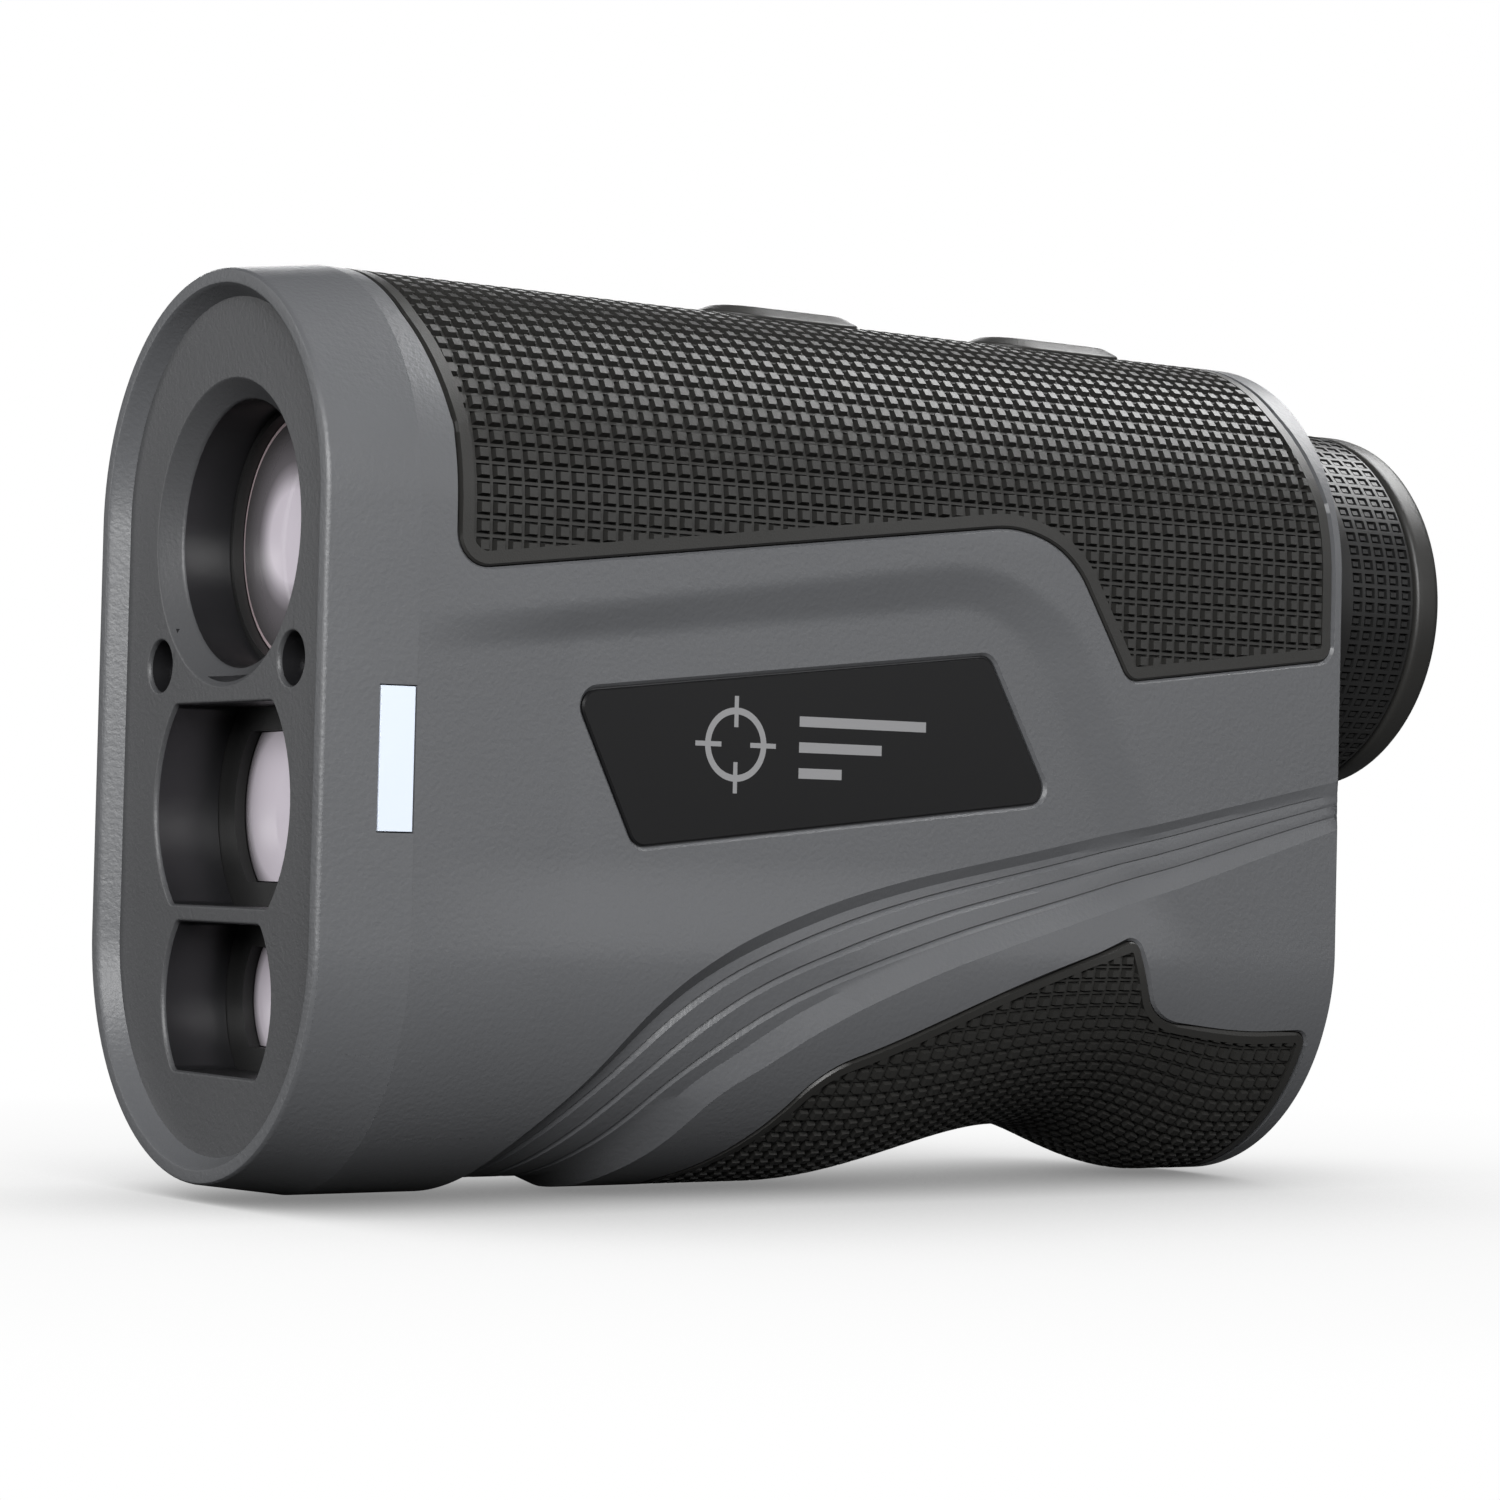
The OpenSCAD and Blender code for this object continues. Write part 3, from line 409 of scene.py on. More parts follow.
@dataclass(frozen=True)
class Body:
    """The slot-shaped body, and the flat layout that is wrapped round it, in millimetres.

    A flat point is (girth, station, height): girth runs from the middle of the top down the
    right side (positive) or the left side (negative) to the middle of the underside, a station
    is a distance behind the front rim, and height stands off the surface.
    """

    radius: float
    low: float
    high: float
    front: float
    crease: float
    shell_end: float
    cover_end: float
    cover_t: ClassVar[float] = 4.0
    valley_depth: float = 4.4
    valley_place: float = 78.0
    valley_ahead: float = 27.0
    valley_behind: float = 17.0

    @classmethod
    def of_frame(cls) -> "Body":
        """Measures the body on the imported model's own nodes."""
        nose_low, nose_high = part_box("front_bezel")
        radius = nose_high.x / MM
        front = nose_low.y / MM
        return cls(
            radius=radius,
            low=radius,
            high=nose_high.z / MM - radius,
            front=front,
            crease=nose_high.y / MM - front,
            shell_end=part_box("left_shell")[1].y / MM - front,
            cover_end=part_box("battery_sleeve")[1].y / MM + cls.cover_t - front,
        )

    @property
    def quarter(self) -> float:
        """Girth of a quarter of a round end."""
        return self.radius * math.pi / 2

    @property
    def half_girth(self) -> float:
        """Girth from the middle of the top to the middle of the underside."""
        return 2 * self.quarter + self.high - self.low

    def valley(self, station: np.ndarray) -> np.ndarray:
        """Height of the finger valley at a station."""
        away = np.asarray(station, float) - self.valley_place
        reach = np.where(away < 0, self.valley_ahead, self.valley_behind)
        share = np.clip(np.abs(away) / reach, 0, 1)
        return self.valley_depth * (1 + np.cos(math.pi * share)) / 2

    def girth(self, station: float, z: float) -> float:
        """Girth of the point at a station and a height above the base.

        Args:
            station: Distance behind the front rim.
            z: Height above the base.

        Returns:
            How far round the body it is from the middle of the top.
        """
        if z > self.high:
            return self.radius * math.acos(min(1.0, (z - self.high) / self.radius))
        if z > self.low:
            return self.quarter + self.high - z
        squeezed = self.low - float(self.valley(np.array(station)))
        fall = min(1.0, (self.low - z) / squeezed)
        return self.quarter + self.high - self.low + self.radius * math.asin(fall)

    def bend(self, flat: np.ndarray) -> np.ndarray:
        """Wraps flat points round the body.

        Args:
            flat: Rows of girth, station and height, in millimetres.

        Returns:
            Rows of X, Y and Z in metres.
        """
        girth, station, height = np.asarray(flat, float).T
        side = np.where(girth < 0, -1.0, 1.0)
        girth = np.abs(girth)
        side = np.where(girth > self.half_girth, -side, side)
        girth = np.where(girth > self.half_girth, 2 * self.half_girth - girth, girth)
        reach = self.radius + height
        upper = girth / self.radius
        straight = self.high - self.low
        lower = (girth - self.quarter - straight) / self.radius
        squeeze = (self.radius - self.valley(station)) / self.radius
        in_top = girth <= self.quarter
        in_side = ~in_top & (girth <= self.quarter + straight)
        x = np.where(in_top, reach * np.sin(upper), np.where(in_side, reach, reach * np.cos(lower)))
        z_low = self.low - reach * np.sin(lower) * squeeze
        z_side = self.high - (girth - self.quarter)
        z = np.where(in_top, self.high + reach * np.cos(upper), np.where(in_side, z_side, z_low))
        return np.stack([side * x, self.front + station, z], axis=1) * MM

    def wrap(self, piece: bpy.types.Object) -> bpy.types.Object:
        """Wraps a piece that was modelled flat round the body."""
        put_points(piece, self.bend(points_of(piece)))
        return piece

    def slot(self, radius: float, arc: int = 48) -> np.ndarray:
        """Outline of the body's section at a radius, as X and Z."""
        up = np.linspace(0, math.pi, arc + 1)
        top = np.stack([radius * np.cos(up), self.high + radius * np.sin(up)], axis=1)
        bottom = np.stack([-radius * np.cos(up), self.low - radius * np.sin(up)], axis=1)
        return np.concatenate([top, bottom])

    def across(self, outline: np.ndarray, station: float) -> np.ndarray:
        """Puts an outline in X and Z at a station, as rows of X, Y and Z in metres."""
        y = np.full(len(outline), self.front + station)
        return np.stack([outline[:, 0], y, outline[:, 1]], axis=1) * MM

    def bore(self, name: str, outline: np.ndarray, levels: Sequence[Point2]) -> bpy.types.Object:
        """Solid along the body, from an outline in X and Z.

        Args:
            name: The piece's name.
            outline: Points in X and Z, counter-clockwise.
            levels: Stations, each with how far the outline has grown there.

        Returns:
            The closed solid, in metres.
        """
        return loft(name, [self.across(grown(outline, more), station) for station, more in levels])

    def raised(self, name: str, outline: np.ndarray, levels: Sequence[Point2]) -> bpy.types.Object:
        """Solid in the flat layout, from an outline in girth and station.

        Args:
            name: The piece's name.
            outline: Points of girth and station, counter-clockwise.
            levels: Heights, each with how far the outline has grown there.

        Returns:
            The closed solid, flat and in millimetres.
        """
        loops = []
        for height, more in levels:
            face = grown(outline, more)
            loops.append(np.column_stack([face, np.full(len(face), height)]))
        return loft(name, loops)


@dataclass(frozen=True)
class Studs:
    """Sizes of one cell of the studded rubber, in millimetres."""

    pitch: float = 1.43
    rib: float = 0.24
    lean: float = 0.02
    pit: float = 0.42
    moat: float = 0.1
    lean_in: float = 0.11
    rise: float = 0.78


# Shaders ------------------------------------------------------------------------------


def _operator(operation: str, swapped: bool = False) -> Callable[["Wire", Any], "Wire"]:
    """Makes an operator of Wire.

    Args:
        operation: What its Math node does; a comparison gives 1 or 0.
        swapped: Whether the other value comes first.

    Returns:
        The method.
    """

    def method(wire: "Wire", other: Any) -> "Wire":
        """Adds the operator's Math node."""
        first, second = (other, wire) if swapped else (wire, other)
        return wire._maths(operation, first, second)

    return method


class Wire:
    """One output socket of a shader node, with arithmetic on it."""

    def __init__(self, kit: "Kit", socket: bpy.types.NodeSocket) -> None:
        """Wraps a socket.

        Args:
            kit: The material that the socket's node belongs to.
            socket: The output socket.
        """
        self.kit = kit
        self.socket = socket

    def _maths(self, operation: str, first: Any, second: Any) -> "Wire":
        """Adds a Math node on two values, either of which may be a number."""
        return self.kit.node("ShaderNodeMath", {"operation": operation}, {0: first, 1: second})

    __add__ = _operator("ADD")
    __radd__ = _operator("ADD", swapped=True)
    __sub__ = _operator("SUBTRACT")
    __rsub__ = _operator("SUBTRACT", swapped=True)
    __mul__ = _operator("MULTIPLY")
    __rmul__ = _operator("MULTIPLY", swapped=True)
    __truediv__ = _operator("DIVIDE")
    __gt__ = _operator("GREATER_THAN")
    __lt__ = _operator("LESS_THAN")

    def __abs__(self) -> "Wire":
        """Size without its sign."""
        return self._maths("ABSOLUTE", self, 0.0)

    def root(self) -> "Wire":
        """Square root."""
        return self._maths("SQRT", self, 0.0)


class Kit:
    """A material under construction."""

    def __init__(self, name: str) -> None:
        """Starts an empty material.

        Args:
            name: The material's name.
        """
        self.material = bpy.data.materials.new(name)
        self.material.use_nodes = True
        self.tree = self.material.node_tree
        self.tree.nodes.clear()

    def node(self, kind: str, settings: dict[str, Any], inputs: dict[Any, Any], out: Any = 0) -> Wire:
        """Adds a node.

        Args:
            kind: The node's type.
            settings: Its properties, set first. "stops" fills a colour ramp.
            inputs: Values or wires for its sockets, by name or number.
            out: Which output is handed back.

        Returns:
            The chosen output.
        """
        made = self.tree.nodes.new(kind)
        for key, value in settings.items():
            if key == "stops":
                self._fill_ramp(made, value)
            else:
                setattr(made, key, value)
        for key, value in inputs.items():
            if isinstance(value, Wire):
                self.tree.links.new(value.socket, made.inputs[key])
            else:
                made.inputs[key].default_value = value
        return Wire(self, made.outputs[out])

    @staticmethod
    def _fill_ramp(made: bpy.types.Node, stops: Sequence[tuple[float, float]]) -> None:
        """Gives a colour ramp its grey stops, each a place and a value."""
        ramp = made.color_ramp
        while len(ramp.elements) < len(stops):
            ramp.elements.new(0.5)
        for element, (place, value) in zip(ramp.elements, stops):
            element.position = place
            element.color = (value, value, value, 1)

    def place(self) -> Wire:
        """Object coordinates, in metres."""
        return self.node("ShaderNodeTexCoord", {}, {}, "Object")

    def axes(self) -> list[Wire]:
        """Object coordinates one by one, in metres."""
        split = self.node("ShaderNodeSeparateXYZ", {}, {0: self.place()}).socket.node
        return [Wire(self, output) for output in split.outputs]

    def noise(self, size: float, detail: float = 2.0, rough: float = 0.5, at: Wire | None = None) -> Wire:
        """Noise whose features have a size.

        Args:
            size: Size of a feature, in millimetres.
            detail: Octaves of finer noise.
            rough: Weight of the finer octaves.
            at: Where it is read, if not at the object's own coordinates.

        Returns:
            A value from 0 to 1.
        """
        sockets = {"Vector": at or self.place(), "Scale": 1 / (size * MM)}
        return self.node("ShaderNodeTexNoise", {}, sockets | {"Detail": detail, "Roughness": rough})

    def ramp(self, value: Wire, stops: Sequence[tuple[float, float]]) -> Wire:
        """Maps a value through a ramp.

        Args:
            value: The value that is looked up.
            stops: Places on the ramp, each with its grey value.

        Returns:
            The value found there.
        """
        return self.node("ShaderNodeValToRGB", {"stops": stops}, {"Fac": value})

    def blend(self, share: Any, dark: Any, light: Any) -> Wire:
        """Mixes two colours.

        Args:
            share: How much of the second, from 0 to 1.
            dark: The first colour, a wire or three numbers.
            light: The second colour, a wire or three numbers.

        Returns:
            The mixed colour.
        """
        first, second = (c if isinstance(c, Wire) else (*c, 1) for c in (dark, light))
        settings = {"data_type": "RGBA", "blend_type": "MIX"}
        return self.node("ShaderNodeMix", settings, {0: share, 6: first, 7: second}, 2)

    def bump(self, height: Wire, strength: float, depth: float) -> Wire:
        """Turns a height into a normal.

        Args:
            height: The height, from 0 to 1.
            strength: How strongly it acts.
            depth: The depth of height 1, in millimetres.

        Returns:
            The normal.
        """
        sockets = {"Height": height, "Strength": strength, "Distance": depth * MM}
        return self.node("ShaderNodeBump", {}, sockets)

    def finish(self, **sockets: Any) -> bpy.types.Material:
        """Ends the material with a Principled shader.

        Args:
            sockets: Values or wires for the shader's sockets, with _ for a space.

        Returns:
            The finished material.
        """
        inputs = {key.replace("_", " "): value for key, value in sockets.items()}
        shader = self.node("ShaderNodeBsdfPrincipled", {}, inputs)
        return self.show(shader)

    def show(self, shader: Wire) -> bpy.types.Material:
        """Links a shader to the material's output."""
        made = self.tree.nodes.new("ShaderNodeOutputMaterial")
        self.tree.links.new(shader.socket, made.inputs["Surface"])
        return self.material


@dataclass(frozen=True)
class Moulded:
    """Moulded plastic or rubber with a spark-eroded grain."""

    name: str
    colour: Colour
    roughness: float = 0.5
    grain: float = 0.3
    grain_depth: float = 0.02
    grain_strength: float = 0.35
    mottle: float = 0.06
    specular: float = 0.5
    tunnel_painted_shade: Colour | None = None

    def inside(self, kit: Kit) -> Wire:
        """Mask of the walls deep inside the front openings, which are painted darker as shade and made
        smoother.
        """
        x, y, z = (axis * (1 / MM) for axis in kit.axes())
        screw = (abs(x) > 9.0) * (z < 45.0)
        return y - (z > 41.0) * (1 - screw) * 1.3 > BODY.front + 2.0

    def material(self) -> bpy.types.Material:
        """Builds the finish's material."""
        kit = Kit(self.name)
        fine = kit.noise(self.grain, 3.0, 0.55)
        broad = kit.noise(9.0, 2.0)
        low = tuple(c * (1 - self.mottle) for c in self.colour)
        high = tuple(c * (1 + self.mottle) for c in self.colour)
        colour = kit.blend(broad * 0.6 + fine * 0.4, low, high)
        rough = broad * 0.08 + fine * 0.06 + (self.roughness - 0.07)
        # Inside the openings the colour turns near black as painted shade, the roughness drops and the grain
        # fades out.
        if self.tunnel_painted_shade:
            shaded_walls = self.inside(kit)
            colour = kit.blend(shaded_walls, colour, self.tunnel_painted_shade)
            rough = rough - shaded_walls * 0.14
            fine = fine * (1 - shaded_walls)
        return kit.finish(
            Base_Color=colour,
            Roughness=rough,
            Specular_IOR_Level=self.specular,
            Normal=kit.bump(fine, self.grain_strength, self.grain_depth),
        )


@dataclass(frozen=True)
class Gloss:
    """Smooth lacquered or polished plastic with faint dust haze."""

    name: str
    colour: Colour
    roughness: float = 0.22
    specular: float = 0.5
    coat: float = 0.0
    mark: Colour | None = None

    def printed(self, kit: Kit) -> Wire:
        """Mask of a plain sighting mark: a ring with four ticks, and three bars behind it."""
        along, up = (axis * (1 / MM) for axis in kit.axes()[1:])
        x, z = along - (BODY.front + 37.6), up - 36.6
        away = (x * x + z * z).root()
        mask = abs(away - 2.7) < 0.27
        for first, second in ((abs(x), abs(z)), (abs(z), abs(x))):
            mask = mask + (first < 0.2) * (second < 3.9) * (second > 1.4)
        for rise, start, end in ((2.1, 6.2, 19.0), (0.0, 6.2, 14.5), (-2.1, 6.2, 10.5)):
            bar = (abs(z - rise) < 0.42) * (x > start) * (x < end)
            mask = mask + bar
        return mask > 0.5

    def material(self) -> bpy.types.Material:
        """Builds the finish's material."""
        kit = Kit(self.name)
        haze = kit.noise(6.0, 4.0, 0.6)
        colour = kit.blend(haze, tuple(c * 0.93 for c in self.colour), tuple(c * 1.07 for c in self.colour))
        if self.mark:
            colour = kit.blend(self.printed(kit), colour, self.mark)
        return kit.finish(
            Base_Color=colour,
            Roughness=haze * 0.08 + (self.roughness - 0.04),
            Specular_IOR_Level=self.specular,
            Coat_Weight=self.coat,
            Coat_Roughness=0.08,
            Normal=kit.bump(kit.noise(1.6, 1.0), 0.08, 0.01),
        )


@dataclass(frozen=True)
class Metal:
    """Plated or blackened metal with fine scratches."""

    name: str
    colour: Colour
    roughness: float = 0.32

    def material(self) -> bpy.types.Material:
        """Builds the finish's material."""
        kit = Kit(self.name)
        stretched = kit.node(
            "ShaderNodeMapping", {"vector_type": "POINT"}, {"Vector": kit.place(), "Scale": (1, 0.08, 1)}
        )
        brushed = kit.noise(0.25, 3.0, 0.6, stretched)
        colour = kit.blend(brushed, tuple(c * 0.85 for c in self.colour), self.colour)
        return kit.finish(
            Base_Color=colour,
            Metallic=1.0,
            Roughness=brushed * 0.18 + (self.roughness - 0.09),
            Normal=kit.bump(brushed, 0.12, 0.01),
        )


@dataclass(frozen=True)
class GlassWithPaintedLight:
    """Lens glass with painted light: pale towards its middle as a painted reflection, dark towards its rim as
    painted shade, with a painted highlight ring at the rim and a painted glow.
    """

    name: str
    axis: float = SIGHT_AXIS
    radius: float = 30.0
    painted_shade_tint: Colour = (0.07, 0.065, 0.068)
    painted_reflection: Colour = (0.62, 0.57, 0.63)
    edge: Colour = (0.5, 0.4, 0.42)
    painted_glow: float = 0.2
    bright: float = 0.6

    def material(self) -> bpy.types.Material:
        """Builds the finish's material."""
        kit = Kit(self.name)
        x, _, z = kit.axes()
        up = z - self.axis * MM
        away = (x * x + up * up).root() / (self.radius * MM)
        drift = kit.noise(14.0, 1.0)
        # The ramp paints a pale reflection in the middle that fades into painted shade towards the rim.
        stops = [(self.bright - 0.14, 1.0), (self.bright, 0.4), (self.bright + 0.1, 0.12), (0.95, 0.0)]
        centre = kit.ramp(away + (drift - 0.5) * 0.08, stops)
        tint = kit.blend(centre, self.painted_shade_tint, self.painted_reflection)
        # A pale ring at the very rim is a painted highlight.
        tint = kit.blend(away > 0.965, tint, self.edge)
        # The emission lets the lens glow with its painted reflection, though it is no lamp.
        return kit.finish(
            Base_Color=tint,
            Roughness=drift * 0.04 + 0.03,
            Coat_Weight=0.8,
            Coat_Roughness=0.02,
            Emission_Color=tint,
            Emission_Strength=self.painted_glow,
        )


@dataclass(frozen=True)
class Frosted:
    """Milky window plastic with a soft painted glow: it emits light, though no lamp lies behind it."""

    name: str
    colour: Colour
    painted_glow: float = 0.55

    def material(self) -> bpy.types.Material:
        """Builds the finish's material."""
        kit = Kit(self.name)
        cloud = kit.noise(2.5, 2.0)
        colour = kit.blend(cloud, tuple(c * 0.98 for c in self.colour), self.colour)
        # The emission is a painted glow.
        return kit.finish(
            Base_Color=colour,
            Roughness=cloud * 0.1 + 0.4,
            Emission_Color=colour,
            Emission_Strength=self.painted_glow,
            Normal=kit.bump(kit.noise(0.3), 0.05, 0.01),
        )


@dataclass(frozen=True)
class CircuitBoard:
    """Solder mask with faint copper tracks under it."""

    name: str = "board"
    mask: Colour = (0.012, 0.13, 0.06)
    track: Colour = (0.03, 0.22, 0.09)

    def material(self) -> bpy.types.Material:
        """Builds the finish's material."""
        kit = Kit(self.name)
        wave = kit.node(
            "ShaderNodeTexVoronoi",
            {"distance": "MANHATTAN", "feature": "F1"},
            {"Vector": kit.place(), "Scale": 420.0},
            "Distance",
        )
        tracks = wave > 0.42
        return kit.finish(
            Base_Color=kit.blend(tracks, self.mask, self.track),
            Roughness=tracks * 0.1 + 0.3,
            Normal=kit.bump(tracks, 0.2, 0.03),
        )


class Workshop:
    """Every finish of the object, by the record's material slot."""

    def __init__(self) -> None:
        """Mixes all the finishes."""
        finishes = {
            "housing": Moulded("housing", (0.100, 0.1025, 0.108), 0.42, 0.42, 0.055, 0.8),
            # The panel's walls inside the openings are painted near black as shade.
            "panel": Moulded(
                "panel", (0.060, 0.061, 0.064), 0.46, 0.35, 0.05, 0.7, tunnel_painted_shade=(0.01, 0.01, 0.011)
            ),
            "chassis": Moulded("chassis", (0.02, 0.02, 0.021), 0.6, 0.5),
            "grip_rubber": Moulded("grip_rubber", (0.024, 0.0235, 0.022), 0.43, 0.16, 0.03, 0.6, 0.1, 0.45),
            "nameplate": Gloss("nameplate", (0.009, 0.009, 0.0095), 0.36, 0.2, mark=(0.24, 0.24, 0.245)),
            # The indicator's small emission is a painted glow.
            "indicator": Frosted("indicator", (0.64, 0.70, 0.80), 0.06),
            # Every other lens and prism gets a painted reflection, shade and glow.
            "coated_glass": GlassWithPaintedLight("coated_glass", radius=12.0, bright=0.42, painted_glow=0.12),
            "ring_plastic": Moulded(
                "ring_plastic", (0.017, 0.017, 0.017), 0.42, 0.2, 0.015, 0.3, specular=0.32
            ),
            "steel": Metal("steel", (0.2, 0.2, 0.21), 0.36),
            "board": CircuitBoard(),
            "chip": Moulded("chip", (0.014, 0.014, 0.015), 0.5, 0.2),
            "flex": Gloss("flex", (0.55, 0.2, 0.03), 0.35),
            "plunger": Gloss("plunger", (0.62, 0.58, 0.46), 0.4),
            "battery": Gloss("battery", (0.32, 0.33, 0.36), 0.3),
            "seal": Moulded("seal", (0.012, 0.012, 0.012), 0.55, 0.4),
        }
        self.mixed = {slot: finish.material() for slot, finish in finishes.items()}

    def dress(self, piece: bpy.types.Object, slot: str) -> None:
        """Gives a new piece its finish and names its slot.

        Args:
            piece: A new piece.
            slot: The record's material slot.
        """
        piece.data.materials.clear()
        piece.data.materials.append(self.mixed[slot])

    @staticmethod
    def coat(lens: bpy.types.Object, axis: float, radius: float, bright: float) -> None:
        """Gives a front lens its own painted reflection, shade and glow, centred on its own axis."""
        lens.data.materials[0] = GlassWithPaintedLight(lens.name, axis, radius, bright=bright).material()

    def dress_frame(self) -> None:
        """Gives every CAD node the finish of its own slot."""
        slots = {part["node"]: part["material_slot"] for part in frame["record"]["subparts"]}
        for name, node in frame["nodes"].items():
            for place in node.material_slots:
                place.material = self.mixed[slots[name]]


BODY = Body.of_frame()
SHOP = Workshop()


def hand_over(piece: bpy.types.Object, slot: str, body: str, *stands_for: str, sharp: float = 32.0) -> None:
    """Ends a piece: shades it, dresses it and lets it ride on its body.

    Args:
        piece: The finished mesh, in metres.
        slot: The record's material slot.
        body: The body that carries it.
        stands_for: The CAD nodes that it is shown for.
        sharp: The sharpest smooth edge, in degrees.
    """
    smooth(piece, sharp)
    SHOP.dress(piece, slot)
    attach(piece, body)
    if stands_for:
        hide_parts(*stands_for)
    log.info("%s: %d faces, for %s", piece.name, len(piece.data.polygons), ", ".join(stands_for) or "itself")


# Housing --------------------------------------------------------------------------------


def side_name(side: int) -> str:
    """Names a side: 1 is the right one, -1 the left one."""
    return "right" if side > 0 else "left"


@dataclass(frozen=True)
class Outlines:
    """Outlines on the right side, as stations and heights with a corner radius each."""

    upper: tuple[tuple[float, float, float], ...] = (
        (9.6, 69.0, 8.0), (11.0, 60.0, 8.0), (11.0, 49.0, 2.5), (65.3, 55.9, 11.5), (71.1, 54.0, 9.0),
        (77.5, 43.4, 1.6), (100.7, 46.3, 1.6), (100.7, 60.0, 8.0), (99.3, 68.6, 8.0),
    )
    lower: tuple[tuple[float, float, float], ...] = (
        (39.5, 0.8, 2.0), (48.0, 10.2, 8.0), (65.5, 16.9, 12.0), (79.1, 21.6, 1.1), (81.9, 14.3, 4.0),
        (99.9, 13.3, 1.3),
    )
    badge: tuple[tuple[float, float, float], ...] = (
        (22.2, 40.3, 1.5), (63.2, 45.0, 1.5), (70.1, 32.8, 1.5), (28.2, 28.1, 1.5),
    )

    def _flat(self, corners: Sequence[tuple[float, float, float]]) -> list[tuple[float, float, float]]:
        """Corners as girth, station and radius."""
        return [(BODY.girth(d, z), d, r) for d, z, r in corners]

    @staticmethod
    def _ring(corners: Sequence[tuple[float, float, float]]) -> np.ndarray:
        """Outline through corners of girth, station and radius."""
        return rounded([(g, d) for g, d, _ in corners], [r for _, _, r in corners])

    def over_top(self) -> np.ndarray:
        """The upper grip, from the right side over the top to the left side."""
        right = self._flat(self.upper)
        return self._ring(right + [(-g, d, r) for g, d, r in reversed(right)])

    def under_base(self) -> np.ndarray:
        """The lower grip, from the right side round the underside to the left side."""
        right = self._flat(self.lower)
        return self._ring(right + [(2 * BODY.half_girth - g, d, r) for g, d, r in reversed(right)])

    def nameplate(self, side: int) -> np.ndarray:
        """The nameplate on one side."""
        return self._ring([(side * g, d, r) for g, d, r in self._flat(self.badge)])


@dataclass(frozen=True)
class Relief:
    """Sunken field round the nameplate, framed by two soft bevels."""

    depth: float = 1.0
    corner: float = 6.0
    top_from: Point2 = (23.8, 44.6)
    top_to: Point2 = (63.2, 49.3)
    top_band: Point2 = (2.4, 3.5)
    side_from: Point2 = (66.0, 48.8)
    side_to: Point2 = (79.1, 24.8)
    side_band: float = 4.6
    fade_front: Point2 = (7.0, 22.0)
    fade_low: Point2 = (19.0, 27.5)

    def height(self, station: np.ndarray, z: np.ndarray) -> np.ndarray:
        """How far the surface lies off the plain body.

        Args:
            station: Distances behind the front rim.
            z: Heights above the base.

        Returns:
            Heights in millimetres, none above 0.
        """
        slope = (self.top_to[1] - self.top_from[1]) / (self.top_to[0] - self.top_from[0])
        above = (z - self.top_from[1] - slope * (station - self.top_from[0])) / math.hypot(1, slope)
        run = np.array(self.side_to) - np.array(self.side_from)
        run = run / np.linalg.norm(run)
        beyond = -(station - self.side_from[0]) * run[1] + (z - self.side_from[1]) * run[0]
        up = np.maximum(above + self.corner, 0)
        out = np.maximum(beyond + self.corner, 0)
        edge = np.hypot(up, out) - self.corner
        edge = edge + np.minimum(np.maximum(above + self.corner, beyond + self.corner), 0)
        share = np.clip((station - self.top_from[0]) / 40, 0, 1)
        top_band = self.top_band[0] + (self.top_band[1] - self.top_band[0]) * share
        weight = np.clip(out / (up + out + 1e-6) * 2 - 0.5, 0, 1)
        band = top_band + (self.side_band - top_band) * weight
        ramp = soft_step(edge / band)
        front = np.clip((station - self.fade_front[0]) / (self.fade_front[1] - self.fade_front[0]), 0, 1)
        lows = np.clip((z - self.fade_low[0]) / (self.fade_low[1] - self.fade_low[0]), 0, 1)
        return -self.depth * (1 - ramp) * front * (3 - 2 * lows) * lows**2


def soft_step(share: np.ndarray, edge: float = 0.05) -> np.ndarray:
    """A straight ramp from 0 to 1 whose two ends are eased.

    Args:
        share: Where on the ramp, 0 at its foot and 1 at its head.
        edge: Length of each eased end, as a share of the ramp.

    Returns:
        Values from 0 to 1.
    """
    x = np.clip(share, -edge, 1 + edge)
    foot = np.where(x < edge, (x + edge) ** 2 / (4 * edge), x)
    return np.where(x > 1 - edge, 1 - (1 + edge - x) ** 2 / (4 * edge), foot)


